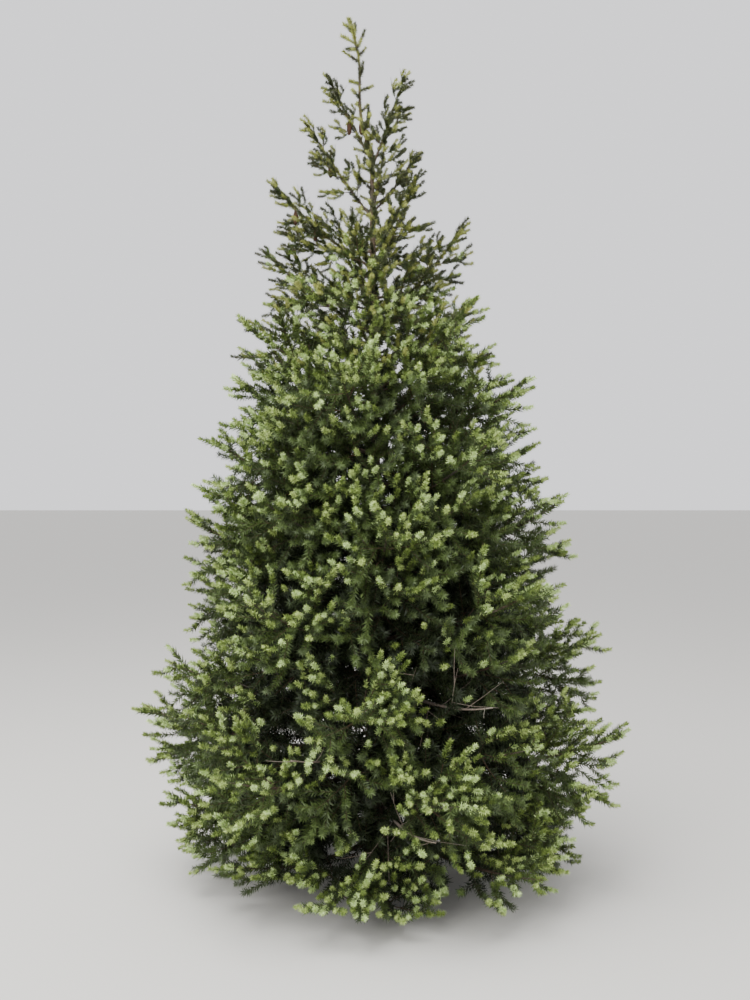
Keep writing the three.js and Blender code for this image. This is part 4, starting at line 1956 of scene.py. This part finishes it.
    def leader_shoots(self, leader: Bough) -> None:
        """Grow the shoots of the leader and of the trunk's young top, and a few round the leader's tip.

        Args:
            leader: The leader.
        """
        rule = self.stems
        line = leader.line
        self.spiral_shoots(leader, line, leader.number, 0.0, rule.top_share * line.length, rule.spacing)
        trunk = self.spaces.trunk
        first = rule.trunk_from / trunk.height
        height = trunk.height - rule.trunk_from
        self.spiral_shoots(leader, Line(trunk.point), leader.number + 1, first, height, rule.trunk_spacing)
        for index in range(rule.top_count):
            share = rule.top_share + rule.top_step * index
            direction = line.axes(share).leaning(1, math.radians(rule.top_angle), index * GOLDEN_ANGLE)
            self.stem_shoot(leader, line.point(share), direction, rule.top_length)

    def grow(self, bough: Bough, owner: int) -> None:
        """Grow everything on a bough or on the leader.

        Args:
            bough: The bough.
            owner: Its number in the list.
        """
        if bough.is_leader:
            self.leader_shoots(bough)
        else:
            self.bough_twigs(bough, owner)


@dataclass(frozen=True)
class SkinSize:
    """How finely limbs are skinned: their sides, and the height and width of the bark's relief."""

    sides: int
    relief: float
    relief_width: float

    def values(self, finish: bpy.types.Material) -> dict[str, object]:
        """Return the values that a LimbSkin takes."""
        sizes = {"Sides": self.sides, "Relief": self.relief, "Relief Width": self.relief_width}
        return {**sizes, "Finish": finish}


BOUGH_SKIN = SkinSize(sides=7, relief=0.003, relief_width=0.012)
TWIG_SKIN = SkinSize(sides=3, relief=0.0006, relief_width=0.006)


@dataclass
class Foliage:
    """Boughs, twigs and needles, joined by band and by tint."""

    framework: Framework
    outer: list[Bough]
    long_bough: float = 0.5
    long_rings: int = 26
    short_rings: int = 14
    skinned_share: float = 0.985

    def masses(self, band: Band) -> list[str]:
        """Return the names of the solids of foliage in a band."""
        return [f"foliage_{bough.label}" for bough in self.framework.tier_boughs() if bough.band is band]

    def build_boughs(self, name: str, boughs: list[Bough], finish: BarkFinish, nodes: list[str]) -> None:
        """Make the bark of some boughs as one piece.

        Args:
            name: The piece's name.
            boughs: The boughs.
            finish: Their bark.
            nodes: The solids that they stand for.
        """
        lines = []
        for bough in boughs:
            rings = self.long_rings if bough.line.length > self.long_bough else self.short_rings
            shares = np.linspace(0.0, self.skinned_share, rings)
            trunk_radius = self.framework.trunk.radius(bough.line.point(0.0)[2])
            radii = np.array([bough.thickness(share, trunk_radius) for share in shares])
            lines.append((bough.line.points(rings, last=self.skinned_share), radii))
        values = BOUGH_SKIN.values(finish.material())
        piece = LimbSkin().make(name, line_mesh("bough_lines", lines), values)
        hand_over(piece, nodes)

    def build_twigs(self, growth: Growth) -> None:
        """Make the bark of the twigs, one piece for the live and the dead ones of each band.

        Args:
            growth: What has grown.
        """
        tool = LimbSkin()
        finishes = {False: TWIG_BARK.material(), True: DEAD_BARK.material()}
        for (band, is_dead), lines in growth.wood.items():
            name = f"dead_twigs_{band.value}" if is_dead else f"twigs_{band.value}"
            piece = tool.make(name, line_mesh("twig_lines", lines), TWIG_SKIN.values(finishes[is_dead]))
            hand_over(piece, self.masses(band))

    def build_needles(self, growth: Growth) -> None:
        """Make the needles, one piece for each band and tint.

        Args:
            growth: What has grown.
        """
        tool = BrushPlaces()
        for seed, finish in enumerate(NEEDLES):
            material = finish.material()
            brush = BRUSHES[finish.age].build(seed, material)
            for band in Band:
                rows = growth.brushes.get((band, finish.name))
                if not rows:
                    continue
                starts, aims, sides, sizes = (np.array(column) for column in zip(*rows))
                host = point_mesh("brush_places", starts, {"aim": aims, "side": sides, "size": sizes})
                piece = tool.make(f"{finish.name}_{band.value}", host, {"Brush": brush, "Finish": material})
                hand_over(piece, self.masses(band))
            bpy.data.objects.remove(brush)

    def build(self) -> None:
        """Grow the foliage and make its pieces. Outer and inner boughs share out the space separately."""
        growth = Growth()
        inner = self.framework.inner_boughs()
        for group in (self.outer, inner):
            grower = TwigGrower(growth, Spaces([bough.line for bough in group], self.framework.trunk))
            for owner, bough in enumerate(group):
                grower.grow(bough, owner)
        LOG.info("%d brushes of needles", growth.count)
        live = [bough for bough in self.outer + inner if not bough.is_dead]
        dead = [bough for bough in self.outer + inner if bough.is_dead]
        bare = [f"bough_{bough.label}" for bough in live if bough.bare > 0]
        self.build_boughs("bough_bark", live, BOUGH_BARK, bare)
        self.build_boughs("dead_boughs", dead, DEAD_BARK, self.masses(Band.LOW))
        self.build_twigs(growth)
        self.build_needles(growth)


# For each bough with cones, the shares of its length where they hang.
CONE_PLACES = {"10a": (0.55, 0.74), "10c": (0.6,), "11a": (0.6,), "12a": (0.5,), "leader": (0.12, 0.26)}


@dataclass
class Cones:
    """Small brown cones that hang from the highest boughs, each a spindle of overlapping scales."""

    length: float = 0.062
    radius: float = 0.0085
    sunk: float = 0.005
    scales: int = 64
    scale_length: float = 0.011
    scale_width: float = 0.01
    foot_share: float = 0.6
    wide_share: float = 0.55
    cup_depth: float = 0.002
    side_cup_share: float = 0.6
    tip_cup_share: float = 0.3
    size_scatter: float = 0.12
    turn_step: float = 2.0

    def scale(self) -> bpy.types.Object:
        """Make one cone scale: a small cupped tongue that points along +Z.

        Returns:
            The scale.
        """
        half, wide, cup = self.scale_width / 2, self.wide_share * self.scale_length, self.cup_depth
        foot = self.foot_share * half
        points = (
            (0, -foot, 0),
            (0, foot, 0),
            (self.side_cup_share * cup, -half, wide),
            (self.side_cup_share * cup, half, wide),
            (cup, 0, wide),
            (self.tip_cup_share * cup, 0, self.scale_length),
        )
        faces = ((0, 1, 4), (0, 4, 2), (1, 3, 4), (2, 4, 5), (3, 5, 4))
        return bpy.data.objects.new("scale", face_mesh("scale", points, faces))

    def build(self, boughs: list[Bough]) -> None:
        """Make one cone, and set it below each of the stems that carry cones.

        Args:
            boughs: The boughs, of which CONE_PLACES names those that carry cones.
        """
        scale = self.scale()
        finish = CONE_SCALE.material()
        values = {
            "Scale Piece": scale,
            "Scales": self.scales,
            "Length": self.length,
            "Radius": self.radius,
            "Finish": finish,
        }
        cone = ConeScales().make("cone", bpy.data.meshes.new("empty"), values)
        lines = {bough.label: bough.line for bough in boughs}
        roots = [lines[label].point(share) for label, shares in CONE_PLACES.items() for share in shares]
        numbers = range(len(roots))
        turns = [number * self.turn_step for number in numbers]
        sizes = [1 + self.size_scatter * scatter(number, Draw.CONE) for number in numbers]
        attributes = {
            "aim": np.tile(UP, (len(roots), 1)),
            "side": np.array([(math.cos(turn), math.sin(turn), 0.0) for turn in turns]),
            "size": np.array([(size, size, size) for size in sizes]),
        }
        host = point_mesh("cone_places", np.array(roots) - UP * self.sunk, attributes)
        piece = BrushPlaces().make("cones", host, {"Brush": cone, "Finish": finish})
        hand_over(piece, [f"foliage_{label}" for label in CONE_PLACES])
        bpy.data.objects.remove(cone)
        bpy.data.objects.remove(scale)


@dataclass(frozen=True)
class Lamp:
    """A square soft light that faces a target."""

    name: str
    place: tuple[float, float, float]
    target: tuple[float, float, float]
    size: float
    power: float

    def build(self) -> None:
        """Set up the light."""
        light = bpy.data.lights.new(self.name, "AREA")
        light.shape = "SQUARE"
        light.size = self.size
        light.energy = self.power
        holder = bpy.data.objects.new(self.name, light)
        holder.location = self.place
        holder.rotation_euler = (Vector(self.target) - Vector(self.place)).to_track_quat("-Z", "Y").to_euler()
        bpy.context.scene.collection.objects.link(holder)


LAMPS = (
    Lamp("overhead", (-1.5, -2.0, 7.0), (0.0, 0.0, 1.5), size=5.0, power=800.0),
    Lamp("front", (-3.0, -6.0, 4.0), (0.0, 0.0, 1.4), size=3.0, power=260.0),
)


@dataclass
class Studio:
    """A plain pale floor, soft light from above and in front, and a camera at eye height.

    The frame's height, and how far the horizon lies below its middle, are in pixels of the photo.
    """

    eye: tuple[float, float, float] = (0.0, -4.3, 1.6)
    lens: float = 36.0
    sensor_width: float = 36.0
    frame_height: float = 1000.0
    horizon_below_middle: float = 5.0
    floor_size: float = 600.0
    floor_colour: int = 0xC9C7C1
    floor_roughness: float = 0.9
    sky_colour: int = 0xE9E9EC
    sky_strength: float = 1.6

    def build_floor(self) -> None:
        """Lay the floor: matte paint, so it shows only soft shadows."""
        half = self.floor_size / 2
        corners = ((-half, -half, 0), (half, -half, 0), (half, half, 0), (-half, half, 0))
        mesh = face_mesh("floor", corners, ((0, 1, 2, 3),))
        material = bpy.data.materials.new("matte_floor_paint")
        material.use_nodes = True
        shader = material.node_tree.nodes["Principled BSDF"]
        shader.inputs["Base Color"].default_value = linear(self.floor_colour)
        shader.inputs["Roughness"].default_value = self.floor_roughness
        mesh.materials.append(material)
        floor = bpy.data.objects.new("floor", mesh)
        bpy.context.scene.collection.objects.link(floor)

    def build_sky(self) -> None:
        """Set the even light of the surroundings."""
        world = bpy.data.worlds.new("studio")
        world.use_nodes = True
        background = world.node_tree.nodes["Background"]
        background.inputs["Color"].default_value = linear(self.sky_colour)
        background.inputs["Strength"].default_value = self.sky_strength
        bpy.context.scene.world = world

    def build_camera(self) -> None:
        """Set the camera level at eye height. A small shift puts the horizon below the frame's middle."""
        camera = bpy.data.cameras.new("camera")
        camera.lens = self.lens
        camera.sensor_width = self.sensor_width
        camera.shift_y = self.horizon_below_middle / self.frame_height
        holder = bpy.data.objects.new("camera", camera)
        holder.location = self.eye
        holder.rotation_euler = (math.pi / 2, 0.0, 0.0)
        bpy.context.scene.collection.objects.link(holder)
        bpy.context.scene.camera = holder

    def build(self) -> None:
        """Set out the floor, the light and the camera."""
        self.build_floor()
        self.build_sky()
        self.build_camera()
        for lamp in LAMPS:
            lamp.build()


def main() -> None:
    """Build the spruce and its studio."""
    logging.basicConfig(level=logging.INFO, format="%(message)s", stream=sys.stdout)
    Studio().build()
    trunk = Trunk()
    trunk.build()
    framework = Framework(trunk)
    boughs = framework.outer_boughs()
    Foliage(framework, boughs).build()
    Cones().build(boughs)


if __name__ == "__main__":
    main()
